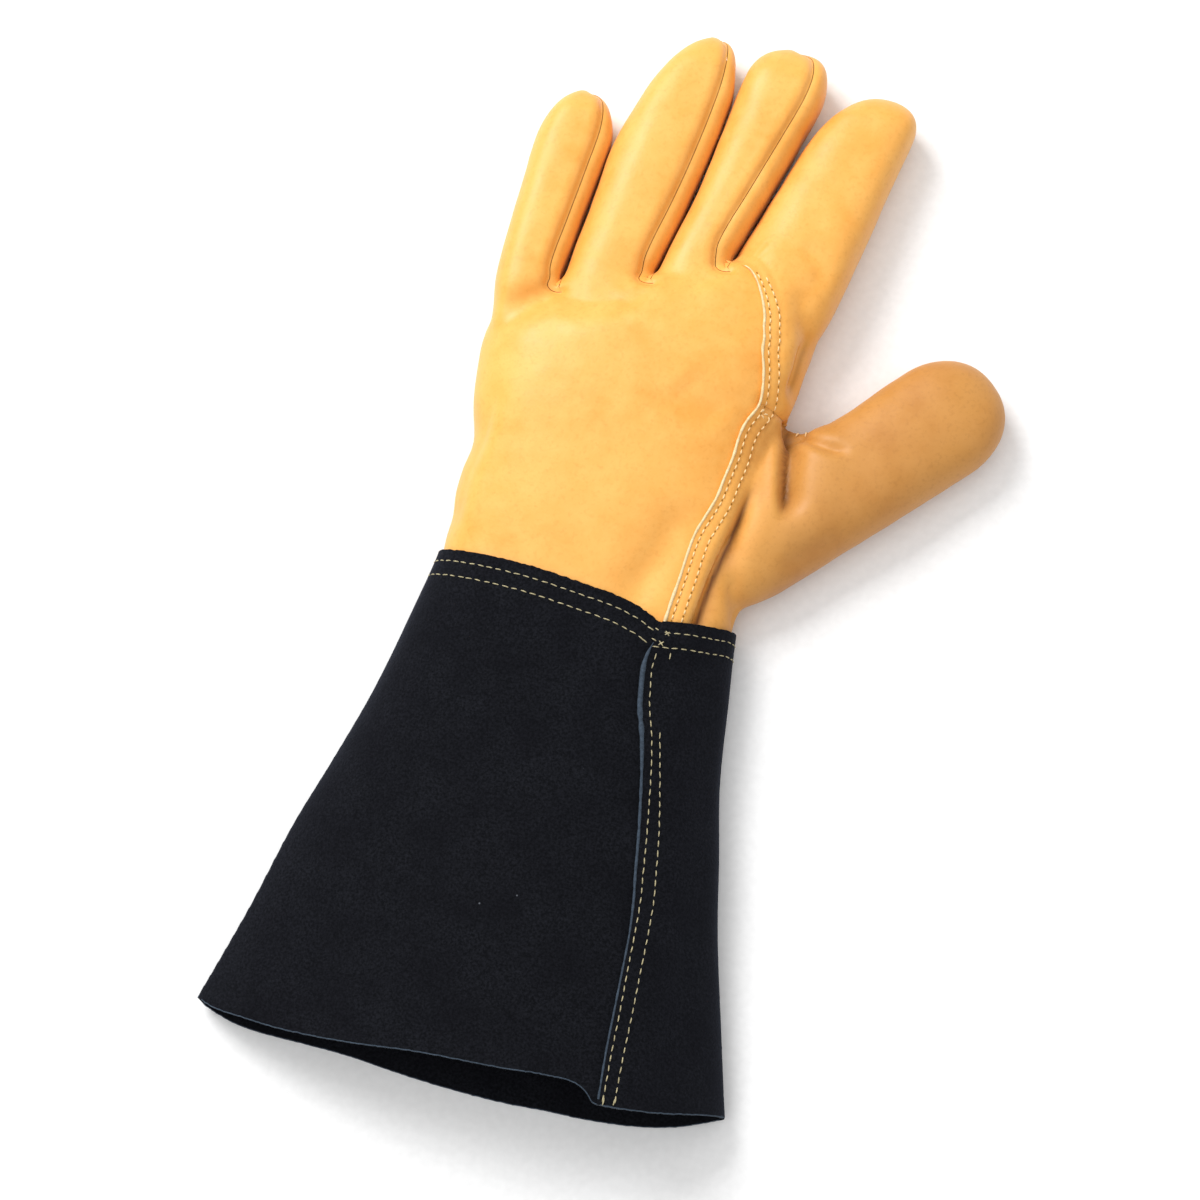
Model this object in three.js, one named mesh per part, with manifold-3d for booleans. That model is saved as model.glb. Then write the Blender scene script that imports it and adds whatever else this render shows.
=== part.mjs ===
// A rose pruning gauntlet lying on its palm: a hollow grain-leather glove sewn from panels, and a
// flared suede cuff that laps over its wrist. Millimetres. +Y runs from the cuff mouth to the
// fingertips, +X towards the thumb, +Z up from the surface that the glove lies on.
import * as THREE from "three";
import { mergeVertices } from "three/addons/utils/BufferGeometryUtils.js";
import Module from "manifold-3d";

// Materials' thicknesses and seams.
const leatherWall = 1.3;
const suedeWall = 1.6;
const seamGap = 0.3;
const leatherLap = 8.5; // width of the double-stitched lap down the hand
const suedeLap = 9; // width of the lap down the cuff
const lapFade = 3; // width over which a lap's upper layer comes down to the layer it joins
const sideSeamLevel = 9.5; // height of the seam along the outer side of the hand
const forkLow = 5; // heights between which a finger's side strip runs down its left side
const forkHigh = 12.5;
const cuffOverlap = 12; // how far the leather runs inside the cuff

// The hand, from the cuff's upper edge to the fork of the little finger.
const palmLength = 104;
const palmBreadth = 114;
const handDepth = 38;

// The fingers, each measured from its fork, and the thumb from the middle of its root.
const littleLength = 79;
const ringLength = 101;
const middleLength = 92;
const indexLength = 82;
const fingerDepth = 26;
const fingerClearance = 1.3; // open space between two fingers that lie side by side
const thumbLength = 117;
const thumbBreadth = 42.5;
const thumbDepth = 27;
const thumbAngle = 47.3; // degrees from +X in plan

// The cuff, from its upper edge to its mouth.
const cuffLength = 179;
const mouthBreadth = 190;
const mouthDepth = 43;

const pressed = 1.04; // how much further than its lowest level a belly would hang if nothing held it
const bodySides = 28;
const fingerSides = 16;

const wasm = await Module();
wasm.setup();

const lerp = THREE.MathUtils.lerp;
const smooth = THREE.MathUtils.smoothstep;

// Reads a table of rows by its first column, with a smooth curve through the rows of each column.
function tableReader(rows, key) {
  const columns = Object.keys(rows[0]).filter((name) => name !== key);
  const slopes = (name) =>
    rows.map((row, i) => {
      const before = rows[Math.max(i - 1, 0)];
      const after = rows[Math.min(i + 1, rows.length - 1)];
      return (after[name] - before[name]) / (after[key] - before[key]);
    });
  const slopeTable = Object.fromEntries(columns.map((name) => [name, slopes(name)]));
  return (at) => {
    let i = rows.findIndex((row, n) => n < rows.length - 1 && at <= rows[n + 1][key]);
    if (i < 0) i = rows.length - 2;
    const span = rows[i + 1][key] - rows[i][key];
    const t = THREE.MathUtils.clamp((at - rows[i][key]) / span, 0, 1);
    const read = { [key]: at };
    for (const name of columns) {
      const a = rows[i][name];
      const b = rows[i + 1][name];
      const da = slopeTable[name][i] * span;
      const db = slopeTable[name][i + 1] * span;
      const start = a * (1 + 2 * t) + da * t;
      const end = b * (3 - 2 * t) + db * (t - 1);
      read[name] = start * (1 - t) ** 2 + end * t * t;
    }
    return read;
  };
}

// A closed section in X and Z: a dome over its widest level and a belly under it, pressed flat at its
// lowest level. The dome can lean over sideways.
function sectionPoints({ left, right, low, high, lean = 0 }, sides, { waist, dome, belly }) {
  const middle = (left + right) / 2;
  const half = (right - left) / 2;
  const level = lerp(low, high, waist);
  const power = (value, exponent) => Math.sign(value) * Math.abs(value) ** (2 / exponent);
  return Array.from({ length: sides }, (_, i) => {
    const angle = (2 * Math.PI * i) / sides;
    const upper = Math.sin(angle) > 0;
    const exponent = upper ? dome : belly;
    const reach = upper ? high - level : level - low;
    const rise = Math.max(power(Math.sin(angle), exponent) * (upper ? 1 : pressed), -1);
    return new THREE.Vector2(
      middle + half * power(Math.cos(angle), exponent) + lean * Math.max(rise, 0),
      level + reach * rise,
    );
  });
}

// A closed mesh from triangles of points, as a manifold solid.
function solidOf(geometry) {
  const bare = geometry.clone();
  bare.deleteAttribute("normal");
  bare.deleteAttribute("uv");
  const merged = mergeVertices(bare, 1e-4);
  return new wasm.Manifold(
    new wasm.Mesh({
      numProp: 3,
      vertProperties: merged.attributes.position.array,
      triVerts: new Uint32Array(merged.index.array),
    }),
  );
}

// Joins rings of equal length into one closed skin, with a fan to the ring's middle at each end.
function loft(rings) {
  const sides = rings[0].length;
  const points = rings.flat();
  const faces = [];
  for (let r = 0; r < rings.length - 1; r++)
    for (let i = 0; i < sides; i++) {
      const a = r * sides + i;
      const b = r * sides + ((i + 1) % sides);
      faces.push(a, a + sides, b, b, a + sides, b + sides);
    }
  const cap = (ring, start, flip) => {
    const add = (a, b, c) => faces.push(...(flip ? [a, c, b] : [a, b, c]));
    const middle = ring.reduce((sum, p) => sum.add(p), new THREE.Vector3()).divideScalar(sides);
    points.push(middle);
    for (let i = 0; i < sides; i++) add(points.length - 1, start + i, start + ((i + 1) % sides));
  };
  cap(rings[0], 0, false);
  cap(rings[rings.length - 1], (rings.length - 1) * sides, true);
  const geometry = new THREE.BufferGeometry().setFromPoints(points);
  geometry.setIndex(faces);
  const solid = solidOf(geometry);
  if (solid.volume() > 0) return solid;
  geometry.setIndex(faces.map((_, i) => faces[i - (i % 3) + [0, 2, 1][i % 3]]));
  return solidOf(geometry);
}

// A plan outline between two levels, as a solid.
function prism(outline, bottom, top) {
  const shape = new THREE.Shape(outline);
  const geometry = new THREE.ExtrudeGeometry(shape, { depth: top - bottom, bevelEnabled: false });
  geometry.translate(0, 0, bottom);
  return solidOf(geometry);
}

// An open path in plan moved sideways, to its right as it is walked.
function shifted(path, distance) {
  return path.map((point, i) => {
    const before = path[Math.max(i - 1, 0)];
    const after = path[Math.min(i + 1, path.length - 1)];
    const along = after.clone().sub(before).normalize();
    const by = typeof distance === "function" ? distance(point) : distance;
    return new THREE.Vector2(point.x + along.y * by, point.y - along.x * by);
  });
}

// The forks between the fingers lie on a curve that rises from the little finger to the index.
const firstForkX = -0.346 * palmBreadth;
const forkRise = (x) => 0.26 * (x - firstForkX) + (0.25 / palmBreadth) * (x - firstForkX) ** 2;
const forkY = (x) => palmLength + forkRise(x);

// The lines that the fingers lie between, from the outer side of the little finger to that of the
// index: X at the forks and at the middle fingertip, and the bow between, in palm breadths.
const sideLines = [
  { fork: -0.555, tip: -0.548, bow: -0.04 },
  { fork: -0.346, tip: -0.28, bow: 0.02 },
  { fork: -0.07, tip: 0.045, bow: 0.1 },
  { fork: 0.155, tip: 0.37, bow: 0.02 },
  { fork: 0.585, tip: 0.672, bow: 0 },
];
const lineX = (n, y) => {
  const { fork, tip, bow } = sideLines[n];
  const start = forkY(fork * palmBreadth);
  const end = forkY(sideLines[3].fork * palmBreadth) + middleLength;
  const t = (y - start) / (end - start);
  return palmBreadth * (fork + (tip - fork) * t + bow * Math.max(t, 0) * (1 - t));
};

// The fingers, little to index. tip is where the end comes, in palm breadths. A side starts to round
// towards the tip at leftRound or rightRound, a share of the length. strip is how far in from its
// right side, in palm breadths, the seam of its side strip lies on top.
const fingers = [
  { line: 0, fork: 1, length: littleLength, tip: -0.415, leftRound: 0.66, rightRound: 0.74, strip: 0.044 },
  { line: 1, fork: 2, length: ringLength, tip: -0.05, leftRound: 0.44, rightRound: 0.75, strip: 0.05 },
  { line: 2, fork: 3, length: middleLength, tip: 0.2, leftRound: 0.8, rightRound: 0.74, strip: 0.066 },
  { line: 3, fork: 3, length: indexLength, tip: 0.52, leftRound: 0.7, rightRound: 0.86, strip: 0.07 },
];
for (const finger of fingers) finger.start = forkY(sideLines[finger.fork].fork * palmBreadth);

// Each finger's root runs back inside the hand. depth is its height, inset how far its sides stand in.
const fingerSections = [
  { along: -0.36, low: 0.3, high: 0.86, inset: 0.05 },
  { along: -0.16, low: 0.12, high: 1.06, inset: 0.012 },
  { along: 0, low: 0.06, high: 1.12, inset: 0 },
  { along: 0.25, low: 0.03, high: 1.06, inset: 0 },
  { along: 0.6, low: 0.02, high: 0.98, inset: 0 },
  { along: 0.8, low: 0.03, high: 0.92, inset: 0 },
  { along: 1, low: 0.06, high: 0.86, inset: 0 },
];
const readFinger = tableReader(fingerSections, "along");
const fingerStations = [-0.36, -0.16, 0, 0.2, 0.42, 0.6, 0.74, 0.85, 0.93, 0.985];
const fingerForm = { waist: 0.42, dome: 2.2, belly: 2.8 };
const tipRound = 0.86;

const quarterRound = (t, from) => Math.sqrt(Math.max(0, 1 - Math.max(0, (t - from) / (1 - from)) ** 2));

function fingerSolid(finger, grow) {
  const reach = finger.length + grow;
  const rings = fingerStations.map((along) => {
    const row = readFinger(along);
    const y = finger.start + along * reach;
    const share = Math.max(along, 0);
    const tipX = finger.tip * palmBreadth;
    const inset = row.inset * palmBreadth - grow;
    const left = lineX(finger.line, y) + fingerClearance / 2 + inset;
    const right = lineX(finger.line + 1, y) - fingerClearance / 2 - inset;
    const middle = ((row.low + row.high) / 2) * fingerDepth * 0.9;
    const end = quarterRound(share, tipRound);
    const section = {
      left: tipX + (left - tipX) * quarterRound(share, finger.leftRound),
      right: tipX + (right - tipX) * quarterRound(share, finger.rightRound),
      low: middle + (Math.max(row.low, 0) * fingerDepth - grow - middle) * end,
      high: middle + (row.high * fingerDepth + grow - middle) * end,
    };
    return sectionPoints(section, fingerSides, fingerForm).map((p) => new THREE.Vector3(p.x, y, p.y));
  });
  return loft(rings);
}

// The hand from the wrist to the forks. rise is how far a section bends forward along the forks' curve.
const palmSections = [
  { along: 0, left: -0.47, right: 0.47, low: 0.05, high: 0.81, rise: 0 },
  { along: 0.2, left: -0.488, right: 0.465, low: 0.02, high: 0.89, rise: 0 },
  { along: 0.42, left: -0.493, right: 0.45, low: 0, high: 0.96, rise: 0.06 },
  { along: 0.6, left: -0.517, right: 0.455, low: 0, high: 1, rise: 0.25 },
  { along: 0.78, left: -0.535, right: 0.492, low: 0, high: 1, rise: 0.5 },
  { along: 0.92, left: -0.528, right: 0.508, low: 0.02, high: 0.9, rise: 0.85 },
  { along: 1, left: -0.505, right: 0.49, low: 0.14, high: 0.6, rise: 1 },
];
const readPalm = tableReader(palmSections, "along");
const palmStations = [0, 0.2, 0.4, 0.58, 0.76, 0.87, 0.95, 1];
const palmForm = { waist: 0.3, dome: 2.35, belly: 4 };

function palmSolid(grow, wristEnd) {
  const ringAt = (along, y) => {
    const row = readPalm(along);
    const section = {
      left: row.left * palmBreadth - grow,
      right: row.right * palmBreadth + grow,
      low: Math.max(row.low, 0) * handDepth - grow,
      high: row.high * handDepth + grow,
    };
    const ahead = grow * smooth(along, 0.9, 1);
    return sectionPoints(section, bodySides, palmForm).map(
      (p) => new THREE.Vector3(p.x, y + ahead + row.rise * forkRise(p.x), p.y),
    );
  };
  return loft([ringAt(0, wristEnd), ...palmStations.map((along) => ringAt(along, along * palmLength))]);
}

// The thumb, along its own axis, which starts inside the hand.
const thumbRoot = new THREE.Vector2(0.39 * palmBreadth, 0.244 * palmLength);
const thumbSections = [
  { along: -0.12, left: 0.4, right: 0.4, low: 0.25, high: 0.72 },
  { along: 0.05, left: 0.49, right: 0.49, low: 0.06, high: 0.94 },
  { along: 0.2, left: 0.6, right: 0.502, low: 0.02, high: 1 },
  { along: 0.35, left: 0.655, right: 0.502, low: 0.02, high: 1 },
  { along: 0.44, left: 0.51, right: 0.5, low: 0.02, high: 1 },
  { along: 0.75, left: 0.53, right: 0.495, low: 0.03, high: 0.93 },
  { along: 1, left: 0.56, right: 0.49, low: 0.06, high: 0.86 },
];
const readThumb = tableReader(thumbSections, "along");
const thumbStations = [-0.12, -0.02, 0.1, 0.22, 0.32, 0.38, 0.44, 0.58, 0.72, 0.82, 0.9, 0.95, 0.985];
const thumbRound = 0.78;

function thumbSolid(grow) {
  const turn = new THREE.Matrix4().makeRotationZ(THREE.MathUtils.degToRad(thumbAngle - 90));
  const rings = thumbStations.map((along) => {
    const row = readThumb(along);
    const end = quarterRound(along, thumbRound) ** 0.9;
    const middle = ((row.low + row.high) / 2) * thumbDepth * 0.92;
    const flat = quarterRound(along, 0.82);
    const section = {
      left: -(row.left * thumbBreadth + grow) * end,
      right: (row.right * thumbBreadth + grow) * end,
      low: middle + (Math.max(row.low, 0) * thumbDepth - grow - middle) * flat,
      high: middle + (row.high * thumbDepth + grow - middle) * flat,
    };
    const y = along * (thumbLength + grow);
    return sectionPoints(section, fingerSides, fingerForm).map((p) =>
      new THREE.Vector3(p.x, y, p.y).applyMatrix4(turn).add(new THREE.Vector3(thumbRoot.x, thumbRoot.y, 0)),
    );
  });
  return loft(rings);
}

// The whole glove as a solid, grown outwards by a distance, or shrunk by a negative one.
function handSolid(grow, wristEnd) {
  return fingers
    .map((finger) => fingerSolid(finger, grow))
    .concat(thumbSolid(grow))
    .reduce((sum, solid) => sum.add(solid), palmSolid(grow, wristEnd));
}

const point = (x, y) => new THREE.Vector2(x, y);
const far = 2 * (palmLength + cuffLength);
const above = 2 * mouthDepth;

const outside = handSolid(0, -cuffOverlap);
const hollow = handSolid(-leatherWall, -cuffOverlap - 1);
const leather = outside.subtract(hollow);

// The lapped seam, from the wrist up to the fork of middle and index, in shares of the palm's length
// and breadth. Its upper layer is the piece on the thumb's side.
const handSeam = [
  { along: -0.14, across: 0.262 },
  { along: 0.1, across: 0.272 },
  { along: 0.26, across: 0.283 },
  { along: 0.4, across: 0.32 },
  { along: 0.56, across: 0.338 },
  { along: 0.67, across: 0.344 },
  { along: 0.79, across: 0.38 },
  { along: 0.92, across: 0.36 },
  { along: 1.06, across: 0.327 },
  { along: 1.17, across: 0.29 },
  { along: 1.23, across: 0.235 },
  { along: 1.26, across: 0.19 },
];
const readHandSeam = tableReader(handSeam, "along");
const seamPoint = (along) => point(readHandSeam(along).across * palmBreadth, along * palmLength);
const seamStations = [-0.14, 0.1, 0.25, 0.4, 0.56, 0.67, 0.76];
const upperSeamStations = [0.8, 0.9, 1, 1.08, 1.15, 1.2, 1.23, 1.26];
const lowerSeam = seamStations.map(seamPoint);
const upperSeam = upperSeamStations.map(seamPoint);

// The middle line of the open space between two fingers, from a height above its fork up past the tips.
const spaceLine = (n, from, to) =>
  Array.from({ length: 5 }, (_, i) => lerp(from, to, i / 4)).map((y) => point(lineX(n, y), y));
const tipsY = fingers[2].start + middleLength + 12;
const topSeam = [...lowerSeam, ...upperSeam, ...spaceLine(3, 1.3 * palmLength, tipsY)];

// The seam between thumb and index, on top and underneath, from the lap out through the thumb's crotch.
const crotchSeam = [
  { along: 0.757, across: 0.44 },
  { along: 0.75, across: 0.485 },
  { along: 0.81, across: 0.526 },
  { along: 1.1, across: 0.7 },
  { along: 1.5, across: 1 },
].map(({ along, across }) => point(across * palmBreadth, along * palmLength));
const underSeam = [
  { along: -0.14, across: 0.36 },
  { along: 0.36, across: 0.36 },
  { along: 0.62, across: 0.41 },
].map(({ along, across }) => point(across * palmBreadth, along * palmLength));
const thumbUnder = [...underSeam, ...crotchSeam.slice(1)];

// How wide the lap is at a point of its seam: it narrows into the fork.
const lapAt = (p) => leatherLap * (1 - smooth(p.y / palmLength, 1.15, 1.24));
const rightOf = (path) => [...path, point(far, path[path.length - 1].y), point(far, path[0].y)];
const leftOf = (path) => [...path, point(-far, path[path.length - 1].y), point(-far, path[0].y)];
const between = (path, other) => [...path, ...[...other].reverse()];

// A strip between two fingers: down the right side of one, round the fork and up the left side of the
// next. by moves its border inwards.
function forkSolid(n, by) {
  const finger = fingers[n - 1];
  const next = fingers[n];
  const x = lineX(n, finger.start);
  const fork = forkY(x);
  const tipX = finger.tip * palmBreadth;
  const seam = [0.04, 0.14, 0.32, 0.55, 0.72, 0.83, 0.92, 0.98, 1].map((t) => {
    const y = fork + t * (finger.start + finger.length - fork);
    const full = lineX(n, y) - finger.strip * palmBreadth * smooth(t, -0.12, 0.13);
    return point(tipX + (full - tipX) * quarterRound(t, finger.rightRound), y);
  });
  const overTip = point(tipX, finger.start + finger.length + 4);
  const bottom = [point(x + 2.5 - by, fork - 1.8), point(x - 1, fork - 1.8), point(x - 3, fork - 0.4)];
  const border = shifted([...bottom, ...seam, overTip], by);
  const middle = [...spaceLine(n, fork + 6, tipsY).reverse(), point(x + 1 - by, fork)];
  const rightSide = prism([...border, ...middle], forkLow + by, above);
  const nextTip = next.tip * palmBreadth;
  const centre = [0, 0.3, 0.6, 0.85, 1, 1.1].map((t) => {
    const y = next.start + t * next.length;
    const half = (lineX(n, y) + lineX(n + 1, y)) / 2;
    return point(lerp(half, nextTip, smooth(t, 0.5, 1)) - by, y);
  });
  const low = fork - 1.8 + by;
  const space = [point(x - 1, low), ...spaceLine(n, fork + 1, tipsY)];
  const inner = [point(centre[0].x, low), ...centre];
  const leftSide = prism(between(space, inner), forkLow + by, forkHigh - by);
  return rightSide.add(leftSide);
}
const half = seamGap / 2;
const forkSpaces = [1, 2, 3].map((n) => forkSolid(n, -half)).reduce((sum, solid) => sum.add(solid));

const largest = (solid) => solid.decompose().sort((a, b) => b.volume() - a.volume())[0];

// The wavy upper edge of the cuff and the two edges of its mouth, in plan. across is in palm or mouth
// breadths, along in cuff lengths from the wrist. The mouth's top layer is set back behind its
// underside, most of all beside the lapped seam.
const upperEdge = [
  { across: -0.6, along: 0.004 },
  { across: -0.35, along: 0.004 },
  { across: -0.17, along: 0.001 },
  { across: 0, along: -0.006 },
  { across: 0.13, along: -0.017 },
  { across: 0.26, along: -0.04 },
  { across: 0.4, along: -0.024 },
  { across: 0.6, along: -0.006 },
];
const mouthEdge = [
  { across: -0.6, along: -0.94 },
  { across: -0.505, along: -0.97 },
  { across: -0.42, along: -1.002 },
  { across: -0.3, along: -1.004 },
  { across: 0, along: -1.016 },
  { across: 0.18, along: -1.008 },
  { across: 0.344, along: -0.993 },
  { across: 0.42, along: -0.972 },
  { across: 0.5, along: -0.934 },
  { across: 0.6, along: -0.9 },
];
const mouthTop = [
  { across: -0.6, along: -0.955 },
  { across: -0.505, along: -0.97 },
  { across: -0.44, along: -0.989 },
  { across: -0.32, along: -0.997 },
  { across: -0.19, along: -0.99 },
  { across: -0.06, along: -0.974 },
  { across: 0.1, along: -0.963 },
  { across: 0.17, along: -0.954 },
  { across: 0.222, along: -0.955 },
  { across: 0.255, along: -0.98 },
  { across: 0.31, along: -0.978 },
  { across: 0.375, along: -0.967 },
  { across: 0.466, along: -0.941 },
  { across: 0.6, along: -0.9 },
];
const mouthLevel = 6; // above this height the cuff's mouth follows its top edge
const edgePoints = (rows, breadth, rise = 0, steps = 12) => {
  const read = tableReader(rows, "across");
  const first = rows[0].across;
  const last = rows[rows.length - 1].across;
  return Array.from({ length: steps + 1 }, (_, i) => lerp(first, last, i / steps)).map((across) =>
    point(across * breadth, read(across).along * cuffLength + rise),
  );
};
const cuffOutline = between(edgePoints(upperEdge, palmBreadth), edgePoints(mouthEdge, mouthBreadth, 0, 18));
const mouthTopEdge = edgePoints(mouthTop, mouthBreadth, 0, 24);
const beyondMouthTop = between(mouthTopEdge, [point(-mouthBreadth, -far), point(mouthBreadth, -far)]);
const cuffClearance = [
  ...edgePoints(upperEdge, palmBreadth, seamGap),
  point(far, -far),
  point(-far, -far),
];

// The cuff's sections from its upper edge to its mouth. left, right and high are shares of the way
// from the wrist's size to the mouth's.
const cuffSections = [
  { along: 0, left: 0, right: 0, high: 0, lean: 0, waist: 0.3, dome: 2.35, belly: 4 },
  { along: 0.14, left: 0.105, right: 0.085, high: 0.1, lean: 0.01, waist: 0.28, dome: 2.2, belly: 4 },
  { along: 0.31, left: 0.25, right: 0.207, high: 0.3, lean: 0.03, waist: 0.24, dome: 2, belly: 4 },
  { along: 0.45, left: 0.415, right: 0.343, high: 0.45, lean: 0.05, waist: 0.21, dome: 1.85, belly: 3.8 },
  { along: 0.6, left: 0.605, right: 0.486, high: 0.6, lean: 0.07, waist: 0.18, dome: 1.7, belly: 3.4 },
  { along: 0.79, left: 0.79, right: 0.73, high: 0.8, lean: 0.095, waist: 0.15, dome: 1.58, belly: 3 },
  { along: 1.03, left: 1.06, right: 1.1, high: 1, lean: 0.12, waist: 0.13, dome: 1.48, belly: 2.6 },
];
const readCuff = tableReader(cuffSections, "along");
const cuffStations = [0, 0.1, 0.24, 0.38, 0.52, 0.68, 0.86, 1.03];

function cuffSolid(grow) {
  const over = seamGap + suedeWall;
  const wristRing = (y) => {
    const row = readPalm(Math.max(y, 0) / palmLength);
    const section = {
      left: row.left * palmBreadth - over - grow,
      right: row.right * palmBreadth + over + grow,
      low: Math.max(row.low * handDepth - over, 0) - grow,
      high: row.high * handDepth + over + grow,
    };
    return sectionPoints(section, bodySides, palmForm).map((p) => new THREE.Vector3(p.x, y, p.y));
  };
  const wrist = readPalm(0);
  const ringAt = (along) => {
    const row = readCuff(along);
    const section = {
      left: lerp(wrist.left * palmBreadth - over, -mouthBreadth / 2, row.left) - grow,
      right: lerp(wrist.right * palmBreadth + over, mouthBreadth / 2, row.right) + grow,
      low: -grow,
      high: lerp(wrist.high * handDepth + over, mouthDepth, row.high) + grow,
      lean: row.lean * mouthBreadth,
    };
    const y = -along * cuffLength;
    return sectionPoints(section, bodySides, row).map((p) => new THREE.Vector3(p.x, y, p.y));
  };
  return loft([wristRing(4), ...cuffStations.map(ringAt)]);
}

// The cuff's own lapped seam, from its mouth up to its upper edge, in palm breadths and cuff lengths.
const cuffSeam = [
  { along: -1.03, across: 0.456 },
  { along: -0.88, across: 0.429 },
  { along: -0.72, across: 0.412 },
  { along: -0.6, across: 0.394 },
  { along: -0.47, across: 0.357 },
  { along: -0.335, across: 0.311 },
  { along: -0.21, across: 0.254 },
  { along: -0.15, across: 0.237 },
  { along: -0.085, across: 0.245 },
  { along: 0.02, across: 0.27 },
];
const cuffLine = cuffSeam.map(({ along, across }) => point(across * palmBreadth, along * cuffLength));

// A lapped seam's upper layer: over the layer beneath, then down into its own piece in two steps.
function lapLayers(line, width, thickness, grown, inner, floorLevel) {
  const strip = (from, to) => prism(between(shifted(line, from), shifted(line, to)), floorLevel, above);
  const plus = (d) => (typeof width === "function" ? (p) => width(p) + d : width + d);
  const raised = grown(seamGap + thickness);
  const over = raised.subtract(grown(seamGap)).intersect(strip(0, plus(seamGap + lapFade / 3)));
  const join = raised.subtract(inner).intersect(strip(plus(seamGap), plus(seamGap + lapFade)));
  const fade = grown((seamGap + thickness) / 2).subtract(inner);
  const faded = fade.intersect(strip(plus(seamGap + lapFade * 0.8), plus(seamGap + 2 * lapFade)));
  return over.add(join).add(faded);
}

const cuffInner = cuffSolid(-suedeWall);
const cuffRibbon = prism(
  between(shifted(cuffLine, suedeLap), shifted(cuffLine, suedeLap + seamGap + lapFade / 2)),
  suedeWall + 2,
  above,
);
const cuffLayers = lapLayers(cuffLine, suedeLap, suedeWall, cuffSolid, cuffInner, suedeWall + 2);
const cuff = cuffSolid(0)
  .subtract(cuffInner)
  .subtract(cuffRibbon)
  .add(cuffLayers)
  .intersect(prism(cuffOutline, -1, above))
  .subtract(prism(beyondMouthTop, mouthLevel, above));

const handParts = (grow) => handSolid(grow, -cuffOverlap);
const beyondCuff = prism(cuffClearance, -1, above);
const lapLine = [...lowerSeam, ...upperSeam.slice(0, -2)];
const wholeLap = lapLayers(lapLine, lapAt, leatherWall, handParts, hollow, sideSeamLevel);
const handLayers = wholeLap.subtract(beyondCuff);

const lapShift = (p) => lapAt(p) + seamGap + lapFade / 2;
const thumbSide = (by, lap) => [...shifted(lowerSeam, lap), ...shifted(crotchSeam, by)];
const lapBeneath = prism(leftOf(shifted(topSeam, lapShift)), sideSeamLevel - 1, above);
const thumbAbove = prism(rightOf(thumbSide(half, half)), sideSeamLevel - 1, above).subtract(lapBeneath);
const thumbLayers = prism(rightOf(thumbSide(half, 0)), sideSeamLevel, above);
const thumbBelow = prism(rightOf(shifted(thumbUnder, half)), -1, sideSeamLevel);
const thumbPanel = leather.intersect(thumbAbove.add(thumbBelow)).add(handLayers.intersect(thumbLayers));

const indexAbove = prism(rightOf(shifted(topSeam, lapShift)), forkLow, above);
const keptFromThumb = prism(rightOf(thumbSide(-half, -half)), sideSeamLevel - 1, above).add(
  prism(rightOf(shifted(thumbUnder, -half)), -1, sideSeamLevel),
);
const everyUnderside = prism(rightOf([point(-far, -far), point(-far, far)]), -1, sideSeamLevel - half);
const palmPanel = leather
  .intersect(everyUnderside.add(indexAbove))
  .add(handLayers)
  .subtract(keptFromThumb)
  .subtract(forkSpaces);

const backAbove = prism(leftOf(shifted(topSeam, lapAt)), sideSeamLevel + half, above);
const backPanel = leather.intersect(backAbove).subtract(forkSpaces);

const forkNames = ["fourchette_little_ring", "fourchette_ring_middle", "fourchette_middle_index"];
const forkPieces = forkNames.map((name, i) => [name, leather.intersect(forkSolid(i + 1, half))]);

const leatherColour = 0xf3b45a;
const thumbColour = 0xdb9c45;
const suedeColour = 0x15161c;
const pieces = [
  ["back_panel", backPanel, leatherColour, 0.5],
  ["palm_panel", palmPanel, leatherColour, 0.5],
  ["thumb_panel", thumbPanel, thumbColour, 0.5],
  ...forkPieces.map(([name, solid]) => [name, solid, thumbColour, 0.55]),
  ["cuff", cuff, suedeColour, 0.95],
].map(([name, solid, colour, roughness]) => meshOf(name, largest(solid), colour, roughness));

function meshOf(name, solid, colour, roughness) {
  const { vertProperties, triVerts, numProp } = solid.getMesh();
  const positions = new Float32Array((vertProperties.length / numProp) * 3);
  for (let i = 0; i < positions.length / 3; i++)
    positions.set(vertProperties.subarray(i * numProp, i * numProp + 3), i * 3);
  const geometry = new THREE.BufferGeometry();
  geometry.setAttribute("position", new THREE.BufferAttribute(positions, 3));
  geometry.setIndex(new THREE.BufferAttribute(new Uint32Array(triVerts), 1));
  geometry.computeVertexNormals();
  const material = new THREE.MeshStandardMaterial({ color: colour, roughness, metalness: 0 });
  const mesh = new THREE.Mesh(geometry, material);
  mesh.name = name;
  return mesh;
}

// The origin is under the middle of the whole glove.
const bounds = new THREE.Box3();
for (const piece of pieces) bounds.expandByObject(piece);
const centre = bounds.getCenter(new THREE.Vector3());
for (const piece of pieces) piece.geometry.translate(-centre.x, -centre.y, -bounds.min.z);

const gauntlet = new THREE.Group();
gauntlet.add(...pieces);
export default gauntlet;
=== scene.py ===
import math
import bpy
import numpy as np
from mathutils import Matrix, Vector, noise
from mathutils.bvhtree import BVHTree


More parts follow.
